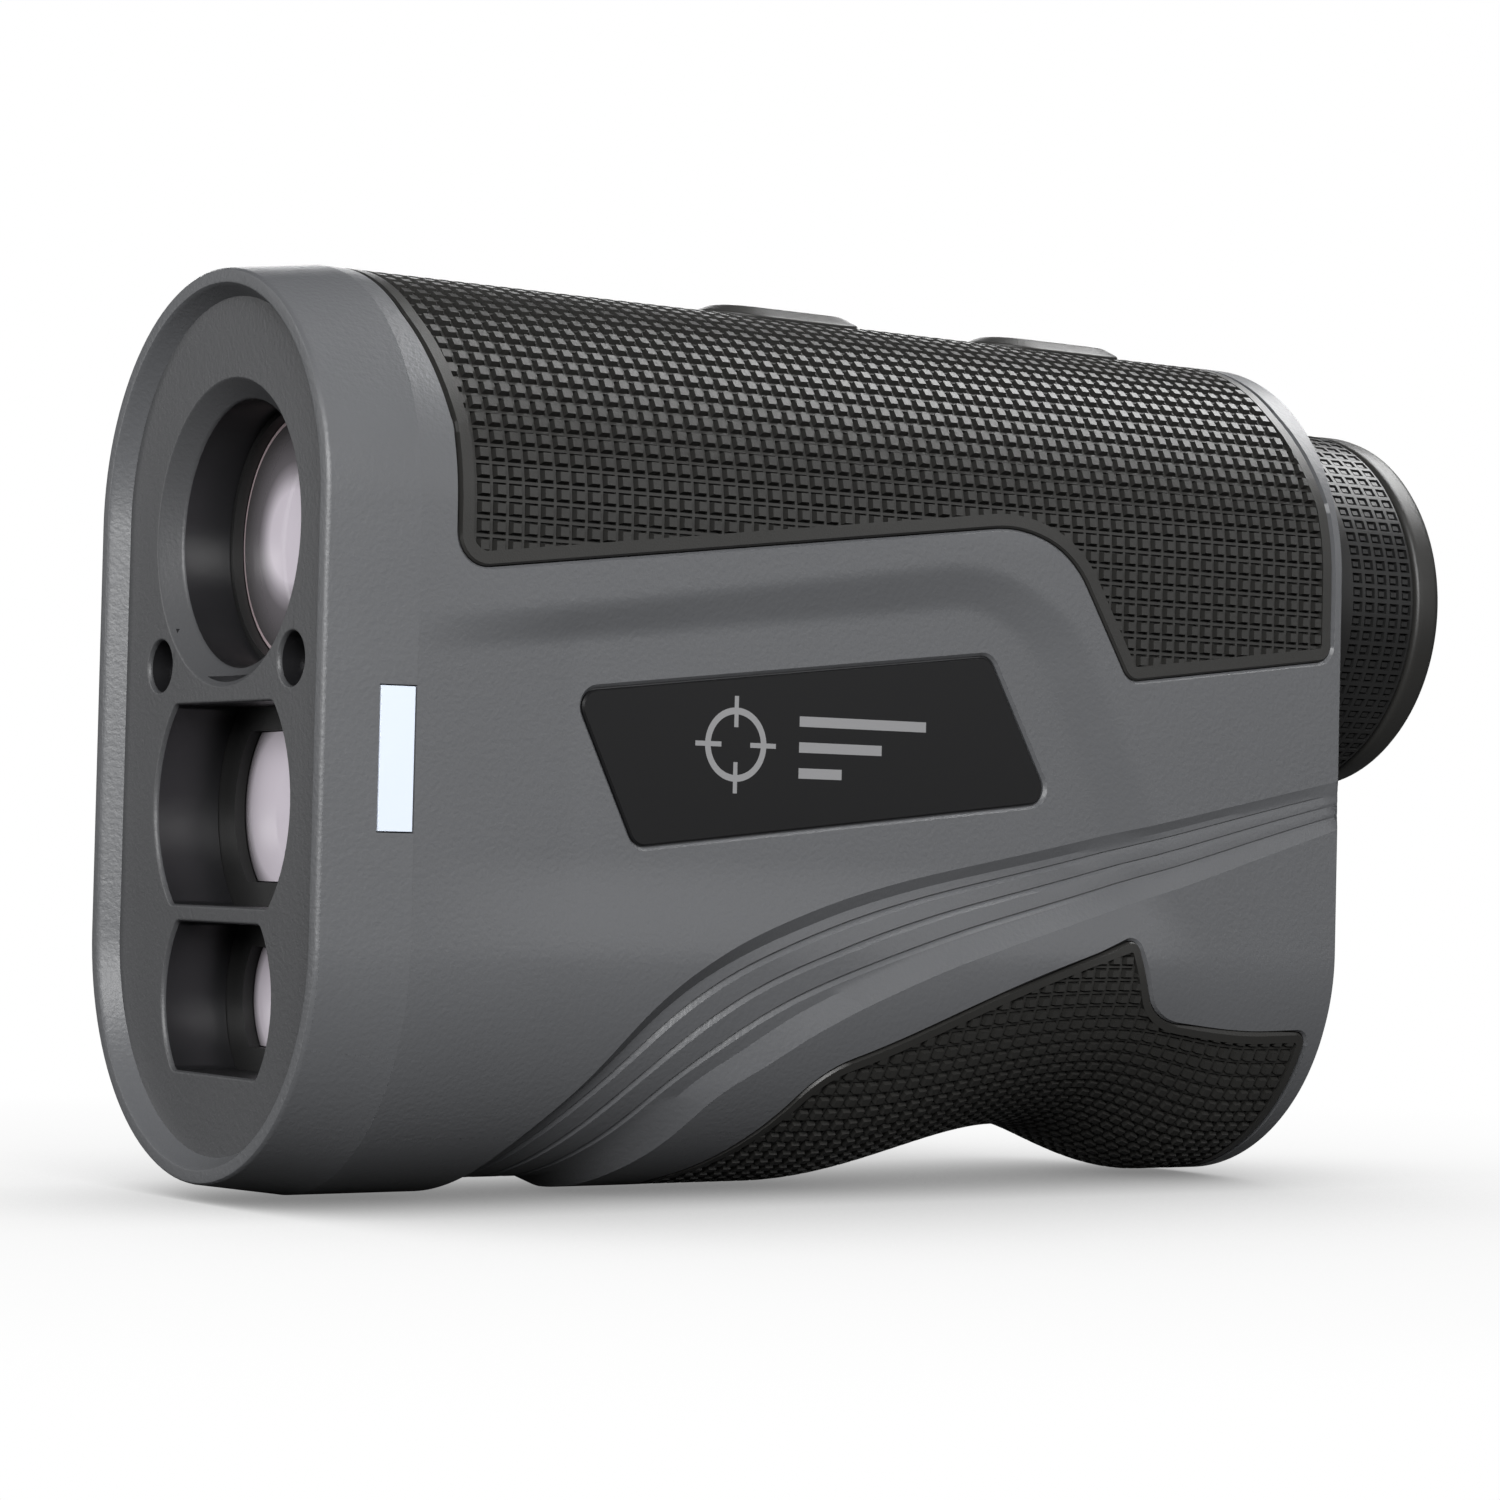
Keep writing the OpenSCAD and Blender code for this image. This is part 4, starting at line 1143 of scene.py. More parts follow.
@dataclass(frozen=True)
class Swoosh:
    """Sunken band with three grooves that sweeps from the underside up to the rear."""

    depth: float = 1.0
    groove_depth: float = 0.34
    first: tuple[Point2, ...] = (
        (19.9, 1.7), (21.7, 5.0), (25.2, 9.5), (30.0, 15.4), (36.0, 19.7), (44.0, 23.0), (54.0, 25.8),
        (70.0, 29.0), (92.0, 33.6), (103.0, 35.9),
    )
    last: tuple[Point2, ...] = (
        (33.2, 1.0), (35.5, 3.8), (38.3, 8.0), (42.5, 11.0), (47.4, 14.0), (54.2, 17.0), (64.0, 20.3),
        (79.0, 24.5), (98.0, 30.2), (103.0, 31.7),
    )
    groove_start: tuple[float, float, float] = (0.17, 0.37, 0.60)
    groove_end: tuple[float, float, float] = (0.27, 0.50, 0.74)
    fade_from: float = 0.5
    stations: int = 72

    def _curve(self, points: Sequence[Point2], share: float) -> np.ndarray:
        """Point on a smooth curve through the given points, in girth and station."""
        flat = np.array([(BODY.girth(d, z), d) for d, z in points])
        start = np.array([BODY.half_girth + 2.5, flat[0][1] - 1.6])
        flat = np.vstack([start, flat])
        ahead = 2 * flat[0] - flat[1]
        behind = 2 * flat[-1] - flat[-2]
        knots = np.vstack([ahead, flat, behind])
        place = share * (len(flat) - 1)
        i = min(int(place), len(flat) - 2)
        f = place - i
        a, b, c, d = knots[i : i + 4]
        square, cube = 2 * a - 5 * b + 4 * c - d, 3 * b - a - 3 * c + d
        return 0.5 * (2 * b + (c - a) * f + square * f**2 + cube * f**3)

    def sharpen(self, piece: bpy.types.Object, side: int) -> None:
        """Marks the band's two outer edges sharp on the flat shell.

        Args:
            piece: The shell, still flat.
            side: 1 for the right shell, -1 for the left.
        """
        points = points_of(piece)
        ends = np.array([edge.vertices[:] for edge in piece.data.edges])
        for curve in (self.first, self.last):
            line = np.array([self._curve(curve, k / self.stations) for k in range(self.stations + 1)])
            line[:, 0] *= side
            start, run = line[:-1], np.diff(line, axis=0)
            away = points[:, None, :2] - start[None]
            share = np.clip((away * run).sum(axis=2) / (run**2).sum(axis=1), 0, 1)
            gap = np.linalg.norm(away - share[..., None] * run, axis=2).min(axis=1)
            on_line = (gap < 2e-3) & (np.abs(points[:, 2]) < 1e-3)
            for index in np.nonzero(on_line[ends].all(axis=1))[0]:
                piece.data.edges[int(index)].use_edge_sharp = True

    def tool(self, side: int) -> bpy.types.Object:
        """The solid that cuts the band out of the flat shell.

        Args:
            side: 1 for the right shell, -1 for the left.

        Returns:
            The closed tool.
        """
        loops = []
        for k in range(self.stations + 1):
            share = k / self.stations
            a, b = self._curve(self.first, share), self._curve(self.last, share)
            width = float(np.linalg.norm(b - a))
            fade = float(np.clip((1 - share) / (1 - self.fade_from), 0, 1)) ** 0.8
            floor = 0.03 + (self.depth - 0.03) * fade
            groove = 0.02 + self.groove_depth * fade
            rows = [(0.0, 0.7), (0.0, 0.0), (min(1.5 / width, 0.15), -floor)]
            for low, high in zip(self.groove_start, self.groove_end):
                at = low + (high - low) * share
                thin, wide = 0.16 / width, 0.62 / width
                rows += [(at - thin, -floor), (at, -floor - groove), (at + wide, -floor)]
            rows += [(1 - min(2.4 / width, 0.22), -floor), (1.0, 0.0), (1.0, 0.7)]
            loops.append([(side * (a + (b - a) * u)[0], (a + (b - a) * u)[1], w) for u, w in rows])
        return loft("swoosh", [np.array(loop) for loop in loops])


@dataclass(frozen=True)
class Housing:
    """Nose, shells, rubber grips and nameplates."""

    outlines: Outlines = Outlines()
    relief: Relief = Relief()
    swoosh: Swoosh = Swoosh()
    studs: Studs = Studs()
    skin: float = 2.4
    grip_t: float = 1.2
    border: float = 1.2
    low_border: float = 0.95
    lattice: float = -0.38
    gap: float = 0.05
    edge: float = 0.24
    button: Point2 = (16.0, 9.6)
    button_stations: Point2 = (53.5, 82.8)
    button_gap: float = 0.3
    chamfer: float = 0.9
    shell_cells: tuple[int, int] = (180, 150)
    spare_rows: int = 10
    upper_columns: int = 64
    lower_rows: int = 50
    lower_columns: int = 44
    lower_from: float = 38.9
    column_at: float = 12.52
    row_at: float = 35.29
    badge_sink: float = 0.1
    badge_t: float = 0.45

    def button_outline(self, station: float) -> np.ndarray:
        """Oval of a button, flat, centred on the top."""
        length, width = self.button
        half = (length - width) / 2
        up = np.linspace(0, math.pi, 17)
        radius = width / 2
        rear = np.stack([radius * np.cos(up), station + half + radius * np.sin(up)], axis=1)
        front = np.stack([-radius * np.cos(up), station - half - radius * np.sin(up)], axis=1)
        return np.concatenate([rear, front])

    def pocket(self, outline: np.ndarray, depth: float) -> bpy.types.Object:
        """Tool for a pocket whose mouth has a small bevel."""
        levels = [(-depth, self.gap), (-self.edge, self.gap), (0.3, self.gap + self.edge + 0.3)]
        return BODY.raised("pocket", outline, levels)

    def pierce(self, piece: bpy.types.Object) -> None:
        """Cuts the two buttons' holes through a flat piece."""
        for station in self.button_stations:
            levels = [(-3, self.button_gap), (1, self.button_gap)]
            combine(piece, BODY.raised("hole", self.button_outline(station), levels))

    def sink(self, piece: bpy.types.Object) -> None:
        """Sinks a flat piece by the relief, except for the shell's inside."""
        flat = points_of(piece)
        z = BODY.bend(flat * [1, 1, 0])[:, 2] / MM
        share = np.clip((flat[:, 2] + self.skin) / 0.25, 0, 1)
        flat[:, 2] += share * self.relief.height(flat[:, 1], z)
        put_points(piece, flat)

    def shell(self, side: int) -> None:
        """One half of the housing.

        Args:
            side: 1 for the right, -1 for the left.
        """
        round_cells, long_cells = self.shell_cells
        chamfer_start = BODY.shell_end - self.chamfer
        along = np.append(np.linspace(BODY.crease, chamfer_start, long_cells + 1), BODY.shell_end)
        girths = np.linspace(0, side * BODY.half_girth, round_cells + 1)
        node = side_name(side) + "_shell"
        piece = grid_slab(node + "_skin", np.sort(girths), along, -self.skin, 0)
        upper, lower = self.outlines.over_top(), self.outlines.under_base()
        if side < 0:
            lower = (lower * [-1, 1])[::-1]
        combine(piece, self.pocket(upper, self.grip_t + 0.05))
        combine(piece, self.pocket(lower, self.grip_t + 0.05))
        combine(piece, self.pocket(self.outlines.nameplate(side), self.badge_t + self.badge_sink))
        combine(piece, self.swoosh.tool(side))
        self.pierce(piece)
        self.swoosh.sharpen(piece, side)
        self.sink(piece)
        flat = points_of(piece)
        flat[:, 2] -= np.clip(flat[:, 1] - chamfer_start, 0, 1) * (flat[:, 2] > -self.skin + 0.2)
        put_points(piece, flat)
        BODY.wrap(piece)
        hand_over(piece, "housing", "housing", node, sharp=24)

    def grip(self, name: str, node: str, outline: np.ndarray, girths: np.ndarray, along: np.ndarray) -> None:
        """A rubber grip: a smooth border round a field of studs.

        Args:
            name: The piece's name.
            node: The CAD node that it stands for.
            outline: Its outline in girth and station.
            girths: Lines of the lattice along the body.
            along: Lines of the lattice across the body.
        """
        border = self.border if node == "upper_grip" else self.low_border
        edge = [(-self.grip_t, -self.gap), (-0.2, -self.gap), (0.0, -self.gap - 0.16), (0.2, -0.5)]
        levels = [(-2, -border), (1, -border)]
        rim = grid_slab(name, girths, along, -self.grip_t - 0.1, 0.0)
        combine(rim, BODY.raised("outside", outline, edge), Cut.KEEP)
        combine(rim, BODY.raised("inside", outline, levels))
        pad = grid_slab("studs", girths, along, -self.grip_t, self.lattice)
        raise_studs(pad, self.studs)
        combine(pad, BODY.raised("inside", outline, levels), Cut.KEEP)
        combine(rim, pad, Cut.ADD)
        if node == "upper_grip":
            self.pierce(rim)
        BODY.wrap(rim)
        hand_over(rim, "grip_rubber", "housing", node, sharp=30)

    def grips(self) -> None:
        """Both rubber grips."""
        cells = round(2 * self.row_at / self.studs.pitch)
        pitch = 2 * self.row_at / cells
        rows = cells + self.spare_rows
        girths = pitch * (np.arange(rows + 1) - rows / 2)
        along = self.column_at - self.studs.pitch * 2 + self.studs.pitch * np.arange(self.upper_columns + 1)
        self.grip("upper_grip_rubber", "upper_grip", self.outlines.over_top(), girths, along)
        girths = BODY.half_girth + pitch * (np.arange(self.lower_rows + 1) - self.lower_rows / 2)
        along = self.lower_from + self.studs.pitch * np.arange(self.lower_columns + 1)
        self.grip("lower_grip_rubber", "lower_grip", self.outlines.under_base(), girths, along)

    def nameplate(self, side: int) -> None:
        """A plain nameplate with a neutral sighting mark.

        Args:
            side: 1 for the right, -1 for the left.
        """
        hand = side_name(side)
        outline = self.outlines.nameplate(side)
        low, high = outline.min(axis=0) - 1, outline.max(axis=0) + 1
        top = -self.badge_sink
        girths, along = np.linspace(low[0], high[0], 19), np.linspace(low[1], high[1], 49)
        piece = grid_slab(hand + "_nameplate", girths, along, top - self.badge_t + 0.02, top)
        levels = [(top - 1, -0.1), (top - 0.14, -0.1), (top + 0.06, -0.3)]
        combine(piece, BODY.raised("plate", outline, levels), Cut.KEEP)
        self.sink(piece)
        BODY.wrap(piece)
        hand_over(piece, "nameplate", "housing", hand + "_badge")

    def nose(self) -> None:
        """The flared front bezel, swept round the slot."""
        r = BODY.radius
        profile = [
            (BODY.crease, r), (0.4, r - 0.95), (0.16, r - 1.02), (0.03, r - 1.14), (0.0, r - 1.3),
            (0.0, r - 1.98), (0.03, r - 2.12), (0.14, r - 2.24), (0.36, r - 2.36),
            (2.1, r - 3.36), (2.2, r - 3.5), (2.3, r - 2.8), (BODY.crease, r - 2.8),
        ]
        piece = wire_ring("nose_bezel", [(radius, BODY.front + d, BODY.high) for d, radius in profile])
        drop = BODY.low - BODY.high
        with editing(piece, "EDGE"):
            bpy.ops.mesh.select_all(action="SELECT")
            bpy.ops.mesh.spin(steps=56, angle=math.pi, center=(0, 0, BODY.high), axis=(0, 1, 0))
            bpy.ops.mesh.extrude_edges_move(TRANSFORM_OT_translate={"value": (0, 0, drop)})
            bpy.ops.mesh.spin(steps=56, angle=math.pi, center=(0, 0, BODY.low), axis=(0, 1, 0))
            bpy.ops.mesh.extrude_edges_move(TRANSFORM_OT_translate={"value": (0, 0, -drop)})
        mend(piece, 1e-3)
        put_points(piece, points_of(piece) * MM)
        for node in ("left_indicator", "right_indicator"):
            self.window(piece, node)
        hand_over(piece, "housing", "housing", "front_bezel", sharp=30)

    def window(self, nose: bpy.types.Object, node: str) -> None:
        """The milky indicator window on one side of the nose.

        Args:
            nose: The bezel, which gets the window's hole.
            node: The CAD node that it stands for.
        """
        low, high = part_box(node)
        clear_selection()
        for name, more in (("hole", 0.05), ("window", -0.05)):
            size = [(high[i] - low[i]) + 2 * more * MM for i in range(3)]
            middle = [(high[i] + low[i]) / 2 for i in range(3)]
            if name == "hole":
                middle[0] *= 1.02
            bpy.ops.mesh.primitive_cube_add(size=1, location=middle, scale=size)
            bpy.ops.object.transform_apply()
            box = fresh(name)
            if name == "hole":
                combine(nose, box)
        box.name = box.data.name = node + "_lens"
        side = 1 if low.x > 0 else -1
        points = points_of(box)
        outer = points[:, 0] * side > np.abs(points[:, 0]).mean()
        station = points[:, 1] / MM - BODY.front
        taper = BODY.radius - (BODY.crease - station) / BODY.crease
        points[outer, 0] = side * (taper[outer] - 0.03) * MM
        put_points(box, points)
        apply_modifier(box, "BEVEL", width=0.06 * MM, segments=2)
        hand_over(box, "indicator", "housing", node)

    def build(self) -> None:
        """Builds the whole housing."""
        self.nose()
        for side in (1, -1):
            self.shell(side)
            self.nameplate(side)
        self.grips()


# Front optics ------------------------------------------------------------------------------


@dataclass(frozen=True)
class Front:
    """Front panel, its three openings and their lenses."""

    face: float = 1.6
    end: float = 7.35
    axis: float = SIGHT_AXIS
    receiver: float = 30.8
    emitter: float = 15.5
    objective_r: float = 10.65
    receiver_r: float = 11.5
    receiver_flat: float = 8.0
    emitter_r: float = 9.25
    emitter_flat: float = 5.95
    screw_x: float = 11.2
    screw_z: float = 42.0
    screw_r: float = 2.1
    panel_inset: float = 2.95
    lens_face: float = 8.3
    lens_rim: float = 0.55
    crown_curve: float = 46.0
    crown_t: float = 3.0
    laser_curve: float = 26.0
    laser_t: float = 2.9

    def window_outline(self, radius: float, flat: float, z: float, corner: float = 0.9) -> np.ndarray:
        """A circle with two flats and eased corners, in X and Z.

        Args:
            radius: The circle's radius.
            flat: Half the height between the flats.
            z: Height of the middle.
            corner: Radius of the four corners.

        Returns:
            The outline's points, counter-clockwise.
        """
        lean = math.asin((flat - corner) / (radius - corner))
        inner = (radius - corner) * math.cos(lean)
        out: list[Point2] = []
        for turn in (0, math.pi):
            c, s = math.cos(turn), math.sin(turn)
            arc = [(radius * math.cos(a), radius * math.sin(a)) for a in np.linspace(-lean, lean, 17)]
            corner_arc = [
                (inner + corner * math.cos(a), flat - corner + corner * math.sin(a))
                for a in np.linspace(lean, math.pi / 2, 7)[1:]
            ]
            low_arc = [(x, -y) for x, y in reversed(corner_arc)]
            out += [(c * x - s * y, z + s * x + c * y) for x, y in low_arc + arc + corner_arc]
        return np.array(out)

    def build(self) -> None:
        """Builds the panel and the lenses."""
        f = self.face
        rim = BODY.slot(BODY.radius - self.panel_inset)
        piece = BODY.bore("front_panel_face", rim, [(f, 0), (self.end, 0)])
        soft = [
            (f - 0.6, 0.9), (f, 0.26), (f + 0.06, 0.12), (f + 0.18, 0.03), (f + 0.34, 0),
            (self.end + 1, 0),
        ]
        chamfer = [
            (f - 0.6, 2.3), (f, 1.66), (f + 0.05, 1.55), (f + 0.14, 1.44), (f + 1.4, 0.14),
            (f + 1.52, 0.04), (f + 1.7, 0), (self.end + 1, 0),
        ]
        objective = circle(self.objective_r, (0, self.axis), 128)
        combine(piece, BODY.bore("mouth", objective, chamfer))
        for radius, flat, z in self.laser_windows():
            combine(piece, BODY.bore("mouth", self.window_outline(radius, flat, z), soft))
        for side in (-1, 1):
            hole = circle(self.screw_r, (side * self.screw_x, self.screw_z), 48)
            combine(piece, BODY.bore("hole", hole, soft))
        hand_over(piece, "panel", "housing", "front_panel", sharp=28)
        self.lenses()

    def laser_windows(self) -> list[tuple[float, float, float]]:
        """Radius, half height and axis height of the two laser windows."""
        return [
            (self.receiver_r, self.receiver_flat, self.receiver),
            (self.emitter_r, self.emitter_flat, self.emitter),
        ]

    def dome(self, name: str, radius: float, curve: float, z: float, back: float) -> bpy.types.Object:
        """A lens with a bulged front, turned about its axis.

        Args:
            name: The piece's name.
            radius: Radius of its rim.
            curve: Radius of its front face.
            z: Height of its axis.
            back: Thickness of its rim.

        Returns:
            The closed lens, in metres.
        """
        sag = curve - math.sqrt(curve**2 - radius**2)
        face = []
        for k in range(25):
            r = radius * k / 24
            face.append((self.lens_face + 0.05 - sag + curve - math.sqrt(curve**2 - r**2), max(r, 0.001)))
        rear = self.lens_face + back
        profile = [(BODY.front + d, r) for d, r in face + [(rear, radius), (rear, 0.001)]]
        piece = lathe(name, profile, z, 96)
        put_points(piece, points_of(piece) * MM)
        return piece

    def lenses(self) -> None:
        """The objective lens and the two laser lenses."""
        crown_r = self.objective_r - self.lens_rim
        crown = self.dome("objective_lens", crown_r, self.crown_curve, self.axis, self.crown_t)
        hand_over(crown, "coated_glass", "housing", "objective_crown")
        # Paints the objective's reflection, shade and glow about its own axis.
        SHOP.coat(crown, self.axis, crown_r, 0.5)
        nodes = ("receiver_lens", "emitter_lens")
        for node, (radius, flat, z) in zip(nodes, self.laser_windows()):
            lens = self.dome(node + "_glass", radius - 3.0, self.laser_curve, z, self.laser_t)
            stop = self.window_outline(radius - 2.0, flat - 2.0, z, 0.5)
            combine(lens, BODY.bore("stop", stop, [(0, 0), (20, 0)]), Cut.KEEP)
            hand_over(lens, "coated_glass", "housing", node)
            # Paints the laser lens's reflection, shade and glow about its own axis.
            SHOP.coat(lens, z, radius - 2.0, 0.8)


# Keys ----------------------------------------------------------------------------------


@dataclass(frozen=True)
class Keys:
    """The two push buttons on the top."""

    proud: float = 0.8
    foot: float = -2.0

    def build(self, housing: Housing) -> None:
        """Builds both buttons.

        Args:
            housing: The housing, which says where the buttons are.
        """
        nodes = (("power_button", "power_key"), ("mode_button", "mode_key"))
        levels = [
            (self.foot, 0), (0.06, 0), (0.16, -0.06), (0.24, -0.18), (0.68, -1.25), (0.76, -1.5),
            (self.proud, -1.8), (self.proud, -2.9), (self.proud, -3.9), (self.proud, -4.5),
        ]
        for (node, body), station in zip(nodes, housing.button_stations):
            piece = BODY.raised(node + "_cap", housing.button_outline(station), levels)
            mark = self.mark(node, station)
            combine(piece, mark, Cut.ADD if node == "mode_button" else Cut.AWAY)
            BODY.wrap(piece)
            hand_over(piece, "grip_rubber", body, node)

    def mark(self, node: str, station: float) -> bpy.types.Object:
        """A plain feel mark: a dot in the power button, a bar on the mode button."""
        if node == "power_button":
            return BODY.raised("dot", circle(1.3, (0, station), 24), [(self.proud - 0.25, 0), (2, 0.5)])
        low, high = station - 0.5, station + 0.5
        bar = rounded([(-2.4, low), (2.4, low), (2.4, high), (-2.4, high)], [0.45] * 4, 4)
        return BODY.raised("bar", bar, [(0.5, 0), (self.proud - 0.02, 0)])


# Eyepiece and rear --------------------------------------------------------------------------


@dataclass(frozen=True)
class Eyepiece:
    """The knurled focusing ring and the rubber eyecup behind it."""

    axis: float = SIGHT_AXIS
    radius: float = 16.6
    start: float = 104.1
    field_start: float = 106.45
    columns: int = 5
    pitch: float = 1.5
    rows: int = 80
    end: float = 114.6
    cup_end: float = 117.7
    wall: float = 1.8
    flat_half: float = 5.6
    studs: Studs = Studs(1.3, 0.38, 0.04, 0.55, 0.13, 0.07, 0.45)

    def bend(self, flat: np.ndarray) -> np.ndarray:
        """Rolls flat points (arc, station, height) round the ring, in metres."""
        arc, station, height = np.asarray(flat, float).T
        turn = arc / self.radius
        reach = self.radius + height
        z = self.axis + reach * np.cos(turn)
        return np.stack([reach * np.sin(turn), BODY.front + station, z], axis=1) * MM

    def build(self) -> None:
        """Builds the ring and the eyecup."""
        girth = 2 * math.pi * self.radius
        arcs = np.linspace(-girth / 2, girth / 2, self.rows + 1)
        fields = self.field_start + self.pitch * np.arange(self.columns + 1)
        lead = [self.start, self.start + 0.15, self.start + 0.5]
        band = np.concatenate([lead, fields, [114.15, 114.4, self.end]])
        ring = grid_slab("focus_ring", arcs, band, -self.wall, 0.0)
        first, last = fields[0], fields[-1]
        self.panel(ring, first, last)
        chosen = [
            face.index for face in ring.data.polygons
            if face.center.z > -0.01 and first < face.center.y < last and abs(face.center.x) > self.flat_half
        ]
        pick_faces(ring, chosen)
        raise_studs(ring, self.studs)
        points = points_of(ring)
        at_start = (points[:, 1] < self.start + 0.01) & (points[:, 2] > -0.1)
        points[at_start, 2] -= 0.35
        points[(points[:, 1] > 114.1) & (points[:, 2] > -0.01), 2] -= 0.55
        put_points(ring, self.bend(points))
        with editing(ring, "VERT"):
            bpy.ops.mesh.select_all(action="SELECT")
            bpy.ops.mesh.remove_doubles(threshold=1e-6)
        hand_over(ring, "ring_plastic", "diopter", "diopter_ring", sharp=30)
        self.cup()

    def panel(self, ring: bpy.types.Object, first: float, last: float) -> None:
        """A sunken panel on top of the ring, with a plus and a minus raised in it.

        Args:
            ring: The ring, still flat.
            first: Station where the studs start.
            last: Station where the studs end.
        """
        step = 2 * math.pi * self.radius / self.rows
        top = [
            (face.index, round(face.center.x / step - 0.5), round((face.center.y - first) / self.pitch - 0.5))
            for face in ring.data.polygons
            if face.center.z > -0.01 and first < face.center.y < last and abs(face.center.x) < 4.1 * step
        ]
        pick_faces(ring, [index for index, _, _ in top])
        with editing(ring):
            bpy.ops.mesh.inset(thickness=0.3, depth=0)
            bpy.ops.mesh.inset(thickness=0.1, depth=-0.4)
            bpy.ops.mesh.select_all(action="DESELECT")
        cross = {(-3, 2), (-2, 1), (-2, 2), (-2, 3), (-1, 2)}
        bar = {(1, 1), (1, 2), (1, 3)}
        pick_faces(ring, [index for index, x, y in top if (x, y) in cross | bar])
        with editing(ring):
            bpy.ops.mesh.inset(thickness=0.42, depth=0)
            bpy.ops.mesh.inset(thickness=0.06, depth=0.32)

    def cup(self) -> None:
        """The rubber eyecup."""
        r = self.radius
        profile = [
            (114.62, 12.0), (114.62, r - 0.5), (114.8, r - 0.16), (115.05, r - 0.04), (115.4, r),
            (116.7, r), (117.15, r - 0.08), (117.45, r - 0.3), (117.64, r - 0.65), (self.cup_end, r - 1.1),
            (self.cup_end, 12.4), (117.5, 11.7), (117.0, 11.1), (116.2, 10.6), (115.4, 10.3), (114.8, 10.25),
        ]
        cup = lathe("eyecup_rubber", [(BODY.front + d, radius) for d, radius in profile], self.axis, 128)
        put_points(cup, points_of(cup) * MM)
        hand_over(cup, "grip_rubber", "diopter", "eyecup", sharp=40)


@dataclass(frozen=True)
class Rear:
    """Rear cover with the lanyard lug, and the battery cap."""

    inner: float = 99.5
    through: Point2 = (90.0, 120.0)
    edge_inset: float = 2.5
    tube_bore: float = 13.1
    cap_bore: float = 9.4
    screws: tuple[Point2, ...] = ((14.5, 34.0), (12.4, 10.8))
    battery_z: float = 18.5
    cap_r: float = 11.0
    notches: int = 24
    notch_at: float = 11.6
    notch_r: float = 0.95
    lug_x: float = -14.4
    lug_z: float = 22.5
    lug_r: float = 3.0
    lug_hole: float = 1.6

    def build(self) -> None:
        """Builds the cover and the cap."""
        end = BODY.cover_end
        first, last = self.through
        levels = [(self.inner, 0), (end - 0.5, 0), (end - 0.22, -0.06), (end - 0.06, -0.24), (end, -0.5)]
        cover = BODY.bore("rear_cover_plate", BODY.slot(BODY.radius - self.edge_inset), levels)
        self.lug(cover, end)
        levels = [(first, 0), (end - 0.3, 0), (end + 0.4, 0.7)]
        combine(cover, BODY.bore("bore", circle(self.tube_bore, (0, SIGHT_AXIS)), levels))
        seat = circle(self.cap_bore, (0, self.battery_z))
        combine(cover, BODY.bore("bore", seat, [(first, 0), (last, 0)]))
        head = [(end - 1.4, 0), (end - 0.12, 0), (end + 0.4, 0.5)]
        for x, z in self.screws:
            for side in (-1, 1):
                combine(cover, BODY.bore("hole", circle(1.5, (side * x, z), 32), head))
                combine(cover, BODY.bore("hole", circle(0.9, (side * x, z), 24), [(first, 0), (end - 1, 0)]))
        hand_over(cover, "housing", "housing", "rear_cover", sharp=30)
        self.cap(end)

    def lug(self, cover: bpy.types.Object, end: float) -> None:
        """The lanyard lug, with its hole upright.

        Args:
            cover: The cover that carries it.
            end: Station of the cover's face.
        """
        middle = BODY.front + end + self.lug_r
        up = np.linspace(0, math.pi, 25)
        nose = [(self.lug_x + self.lug_r * math.cos(a), middle + self.lug_r * math.sin(a)) for a in up]
        base = BODY.front + end - 1
        foot = [(self.lug_x - self.lug_r, base), (self.lug_x + self.lug_r, base)]
        lug = self.upright("lug", np.array(nose + foot), [(1.4, 0.0), (1.75, -0.08), (2.0, -0.35)])
        combine(cover, lug, Cut.ADD)
        ring = circle(self.lug_hole, (self.lug_x, middle), 48)
        combine(cover, self.upright("lug_hole", ring, [(1.6, 0.0), (1.85, 0.02), (3.0, 1.15)]))

    def upright(self, name: str, outline: np.ndarray, upper: list[Point2]) -> bpy.types.Object:
        """Solid along Z at the lug, the same above its middle and below it.

        Args:
            name: The piece's name.
            outline: Points in X and Y, counter-clockwise.
            upper: Heights above the middle, each with how far the outline has grown there.

        Returns:
            The closed solid, in metres.
        """
        loops = []
        for rise, more in [(-rise, more) for rise, more in reversed(upper)] + upper:
            face = grown(outline, more)
            loops.append(np.column_stack([face, np.full(len(face), self.lug_z + rise)]) * MM)
        return loft(name, loops)

    def cap(self, end: float) -> None:
        """The battery cap with its coin slot and finger notches."""
        start = end + 0.7
        levels = [
            (end - 3.9, -1.6), (start, -1.6), (start, 0.0), (start + 1.3, 0.0), (start + 1.7, -0.1),
            (start + 1.93, -0.35), (start + 2.0, -0.7),
        ]
        cap = BODY.bore("battery_cap_head", circle(self.cap_r, (0, self.battery_z), 144), levels)
        low, high = self.battery_z - 0.9, self.battery_z + 0.9
        slot = rounded([(-7, low), (7, low), (7, high), (-7, high)], [0.85] * 4, 6)
        combine(cap, BODY.bore("slot", slot, [(start + 0.7, 0), (start + 1.85, 0), (start + 2.3, 0.4)]))
        for k in range(self.notches):
            turn = 2 * math.pi * k / self.notches
            middle = (self.notch_at * math.cos(turn), self.battery_z + self.notch_at * math.sin(turn))
            notch = circle(self.notch_r, middle, 12)
            combine(cap, BODY.bore("notch", notch, [(start - 0.1, 0), (start + 3, 0)]))
        hand_over(cap, "ring_plastic", "cap", "battery_cap", sharp=30)


# Studio ----------------------------------------------------------------------------------


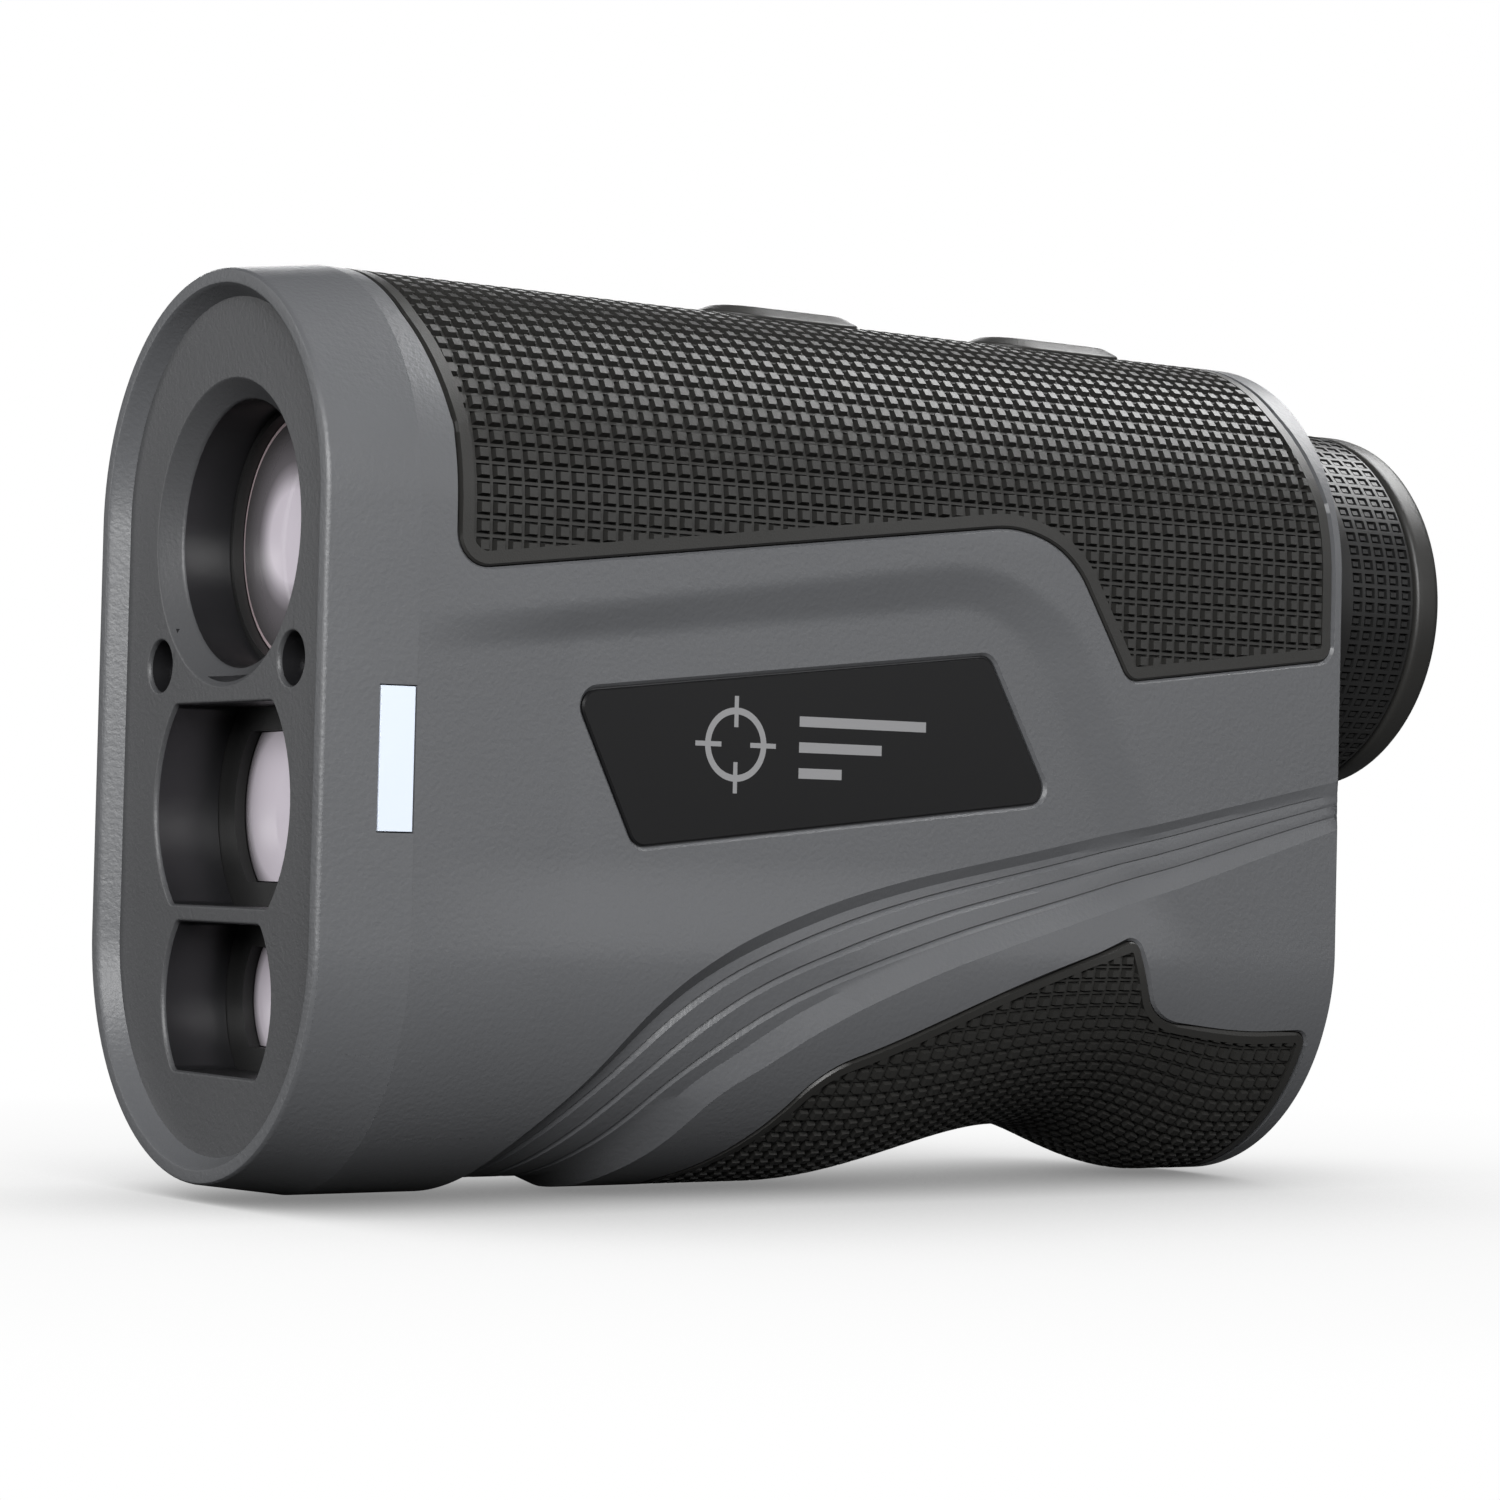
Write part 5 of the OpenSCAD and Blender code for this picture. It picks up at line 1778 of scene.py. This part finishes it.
@dataclass(frozen=True)
class Lamp:
    """A softbox: where it stands, what it points at, its size in metres and its power in watts."""

    name: str
    place: tuple[float, float, float]
    target: tuple[float, float, float]
    size: Point2
    power: float

    def add(self) -> None:
        """Puts the softbox into the scene."""
        data = bpy.data.lights.new(self.name, "AREA")
        data.shape = "RECTANGLE"
        data.size, data.size_y = self.size
        data.energy = self.power
        made = bpy.data.objects.new(self.name, data)
        bpy.context.scene.collection.objects.link(made)
        made.location = self.place
        aim = Vector(self.target) - Vector(self.place)
        made.rotation_euler = aim.to_track_quat("-Z", "Y").to_euler()


@dataclass(frozen=True)
class Studio:
    """Camera, lights, floor and backdrop."""

    lens: float = 96.0
    sensor: float = 36.0
    place: tuple[float, float, float] = (0.283, -0.20185, 0.0271)
    heading: float = 55.4
    tilt: float = 1.63
    roll: float = 1.34
    floor_size: float = 6.0
    floor_drop: float = 0.0004
    shade_reach: float = 0.11
    lamps: tuple[Lamp, ...] = (
        Lamp("side_key", (0.50, -0.34, 0.24), (0, 0, 0.037), (0.38, 0.26), 5.1),
        Lamp("rear_card", (0.55, 0.34, 0.20), (0, 0, 0.037), (0.4, 0.3), 0.55),
        Lamp("front_fill", (-0.30, -0.52, 0.12), (0, -0.058, 0.04), (0.35, 0.5), 1.7),
        Lamp("glint", (0.0, 0.29, 0.38), (0, 0.02, 0.06), (0.30, 0.18), 1.8),
        Lamp("left_fill", (-0.58, 0.30, 0.22), (0, 0, 0.037), (0.40, 0.30), 2.5),
    )

    def camera(self) -> None:
        """Sets up the camera by heading, tilt and roll."""
        a, t, r = (math.radians(v) for v in (self.heading, self.tilt, self.roll))
        look = Vector((-math.sin(a) * math.cos(t), math.cos(a) * math.cos(t), math.sin(t)))
        right = Vector((math.cos(a), math.sin(a), 0))
        up = right.cross(look)
        side = math.cos(r) * right + math.sin(r) * up
        above = -math.sin(r) * right + math.cos(r) * up
        data = bpy.data.cameras.new("camera")
        data.lens = self.lens
        data.sensor_width = self.sensor
        data.clip_start = 0.01
        made = bpy.data.objects.new("camera", data)
        bpy.context.scene.collection.objects.link(made)
        turn = Matrix((side, above, -look)).transposed().to_4x4()
        made.matrix_world = Matrix.Translation(self.place) @ turn
        bpy.context.scene.camera = made

    def floor(self) -> None:
        """A flat pale floor with a painted shadow that darkens it only close under the object."""
        clear_selection()
        bpy.ops.mesh.primitive_plane_add(size=self.floor_size, location=(0, 0, -self.floor_drop))
        bpy.ops.object.transform_apply()
        piece = fresh("floor")
        kit = Kit("floor")
        # Ambient occlusion paints the soft shadow under the object into the floor's emission.
        near = kit.node("ShaderNodeAmbientOcclusion", {"samples": 16}, {"Distance": self.shade_reach}, "AO")
        white_with_painted_shadow = kit.ramp(near, [(0.0, 0.2), (0.5, 0.63), (0.82, 0.93), (1.0, 1.0)])
        seen = kit.node("ShaderNodeEmission", {}, {"Color": white_with_painted_shadow, "Strength": 1.0})
        dim = kit.node("ShaderNodeBsdfDiffuse", {}, {"Color": (0.06, 0.06, 0.06, 1)})
        direct = kit.node("ShaderNodeLightPath", {}, {}, "Is Camera Ray")
        kit.show(kit.node("ShaderNodeMixShader", {}, {0: direct, 1: dim, 2: seen}))
        piece.data.materials.append(kit.material)

    def sky(self) -> None:
        """White surroundings to look at, dim ones to be lit by."""
        world = bpy.data.worlds.new("studio")
        bpy.context.scene.world = world
        world.use_nodes = True
        tree = world.node_tree
        tree.nodes.clear()
        path = tree.nodes.new("ShaderNodeLightPath")
        mix = tree.nodes.new("ShaderNodeMixShader")
        out = tree.nodes.new("ShaderNodeOutputWorld")
        tree.links.new(path.outputs["Is Camera Ray"], mix.inputs[0])
        lights = (((0.9, 0.94, 1, 1), 0.07), ((1, 1, 1, 1), 1.0))
        for number, (colour, strength) in enumerate(lights, start=1):
            back = tree.nodes.new("ShaderNodeBackground")
            back.inputs["Color"].default_value = colour
            back.inputs["Strength"].default_value = strength
            tree.links.new(back.outputs[0], mix.inputs[number])
        tree.links.new(mix.outputs[0], out.inputs["Surface"])

    def build(self) -> None:
        """Sets up the whole studio."""
        self.camera()
        self.sky()
        self.floor()
        for lamp in self.lamps:
            lamp.add()
        bpy.context.scene.view_settings.view_transform = "Standard"


def main() -> None:
    """Builds every sub-assembly in order."""
    Studio().build()
    SHOP.dress_frame()
    housing = Housing()
    housing.build()
    Front().build()
    Keys().build(housing)
    Eyepiece().build()
    Rear().build()


if __name__ == "__main__":
    main()
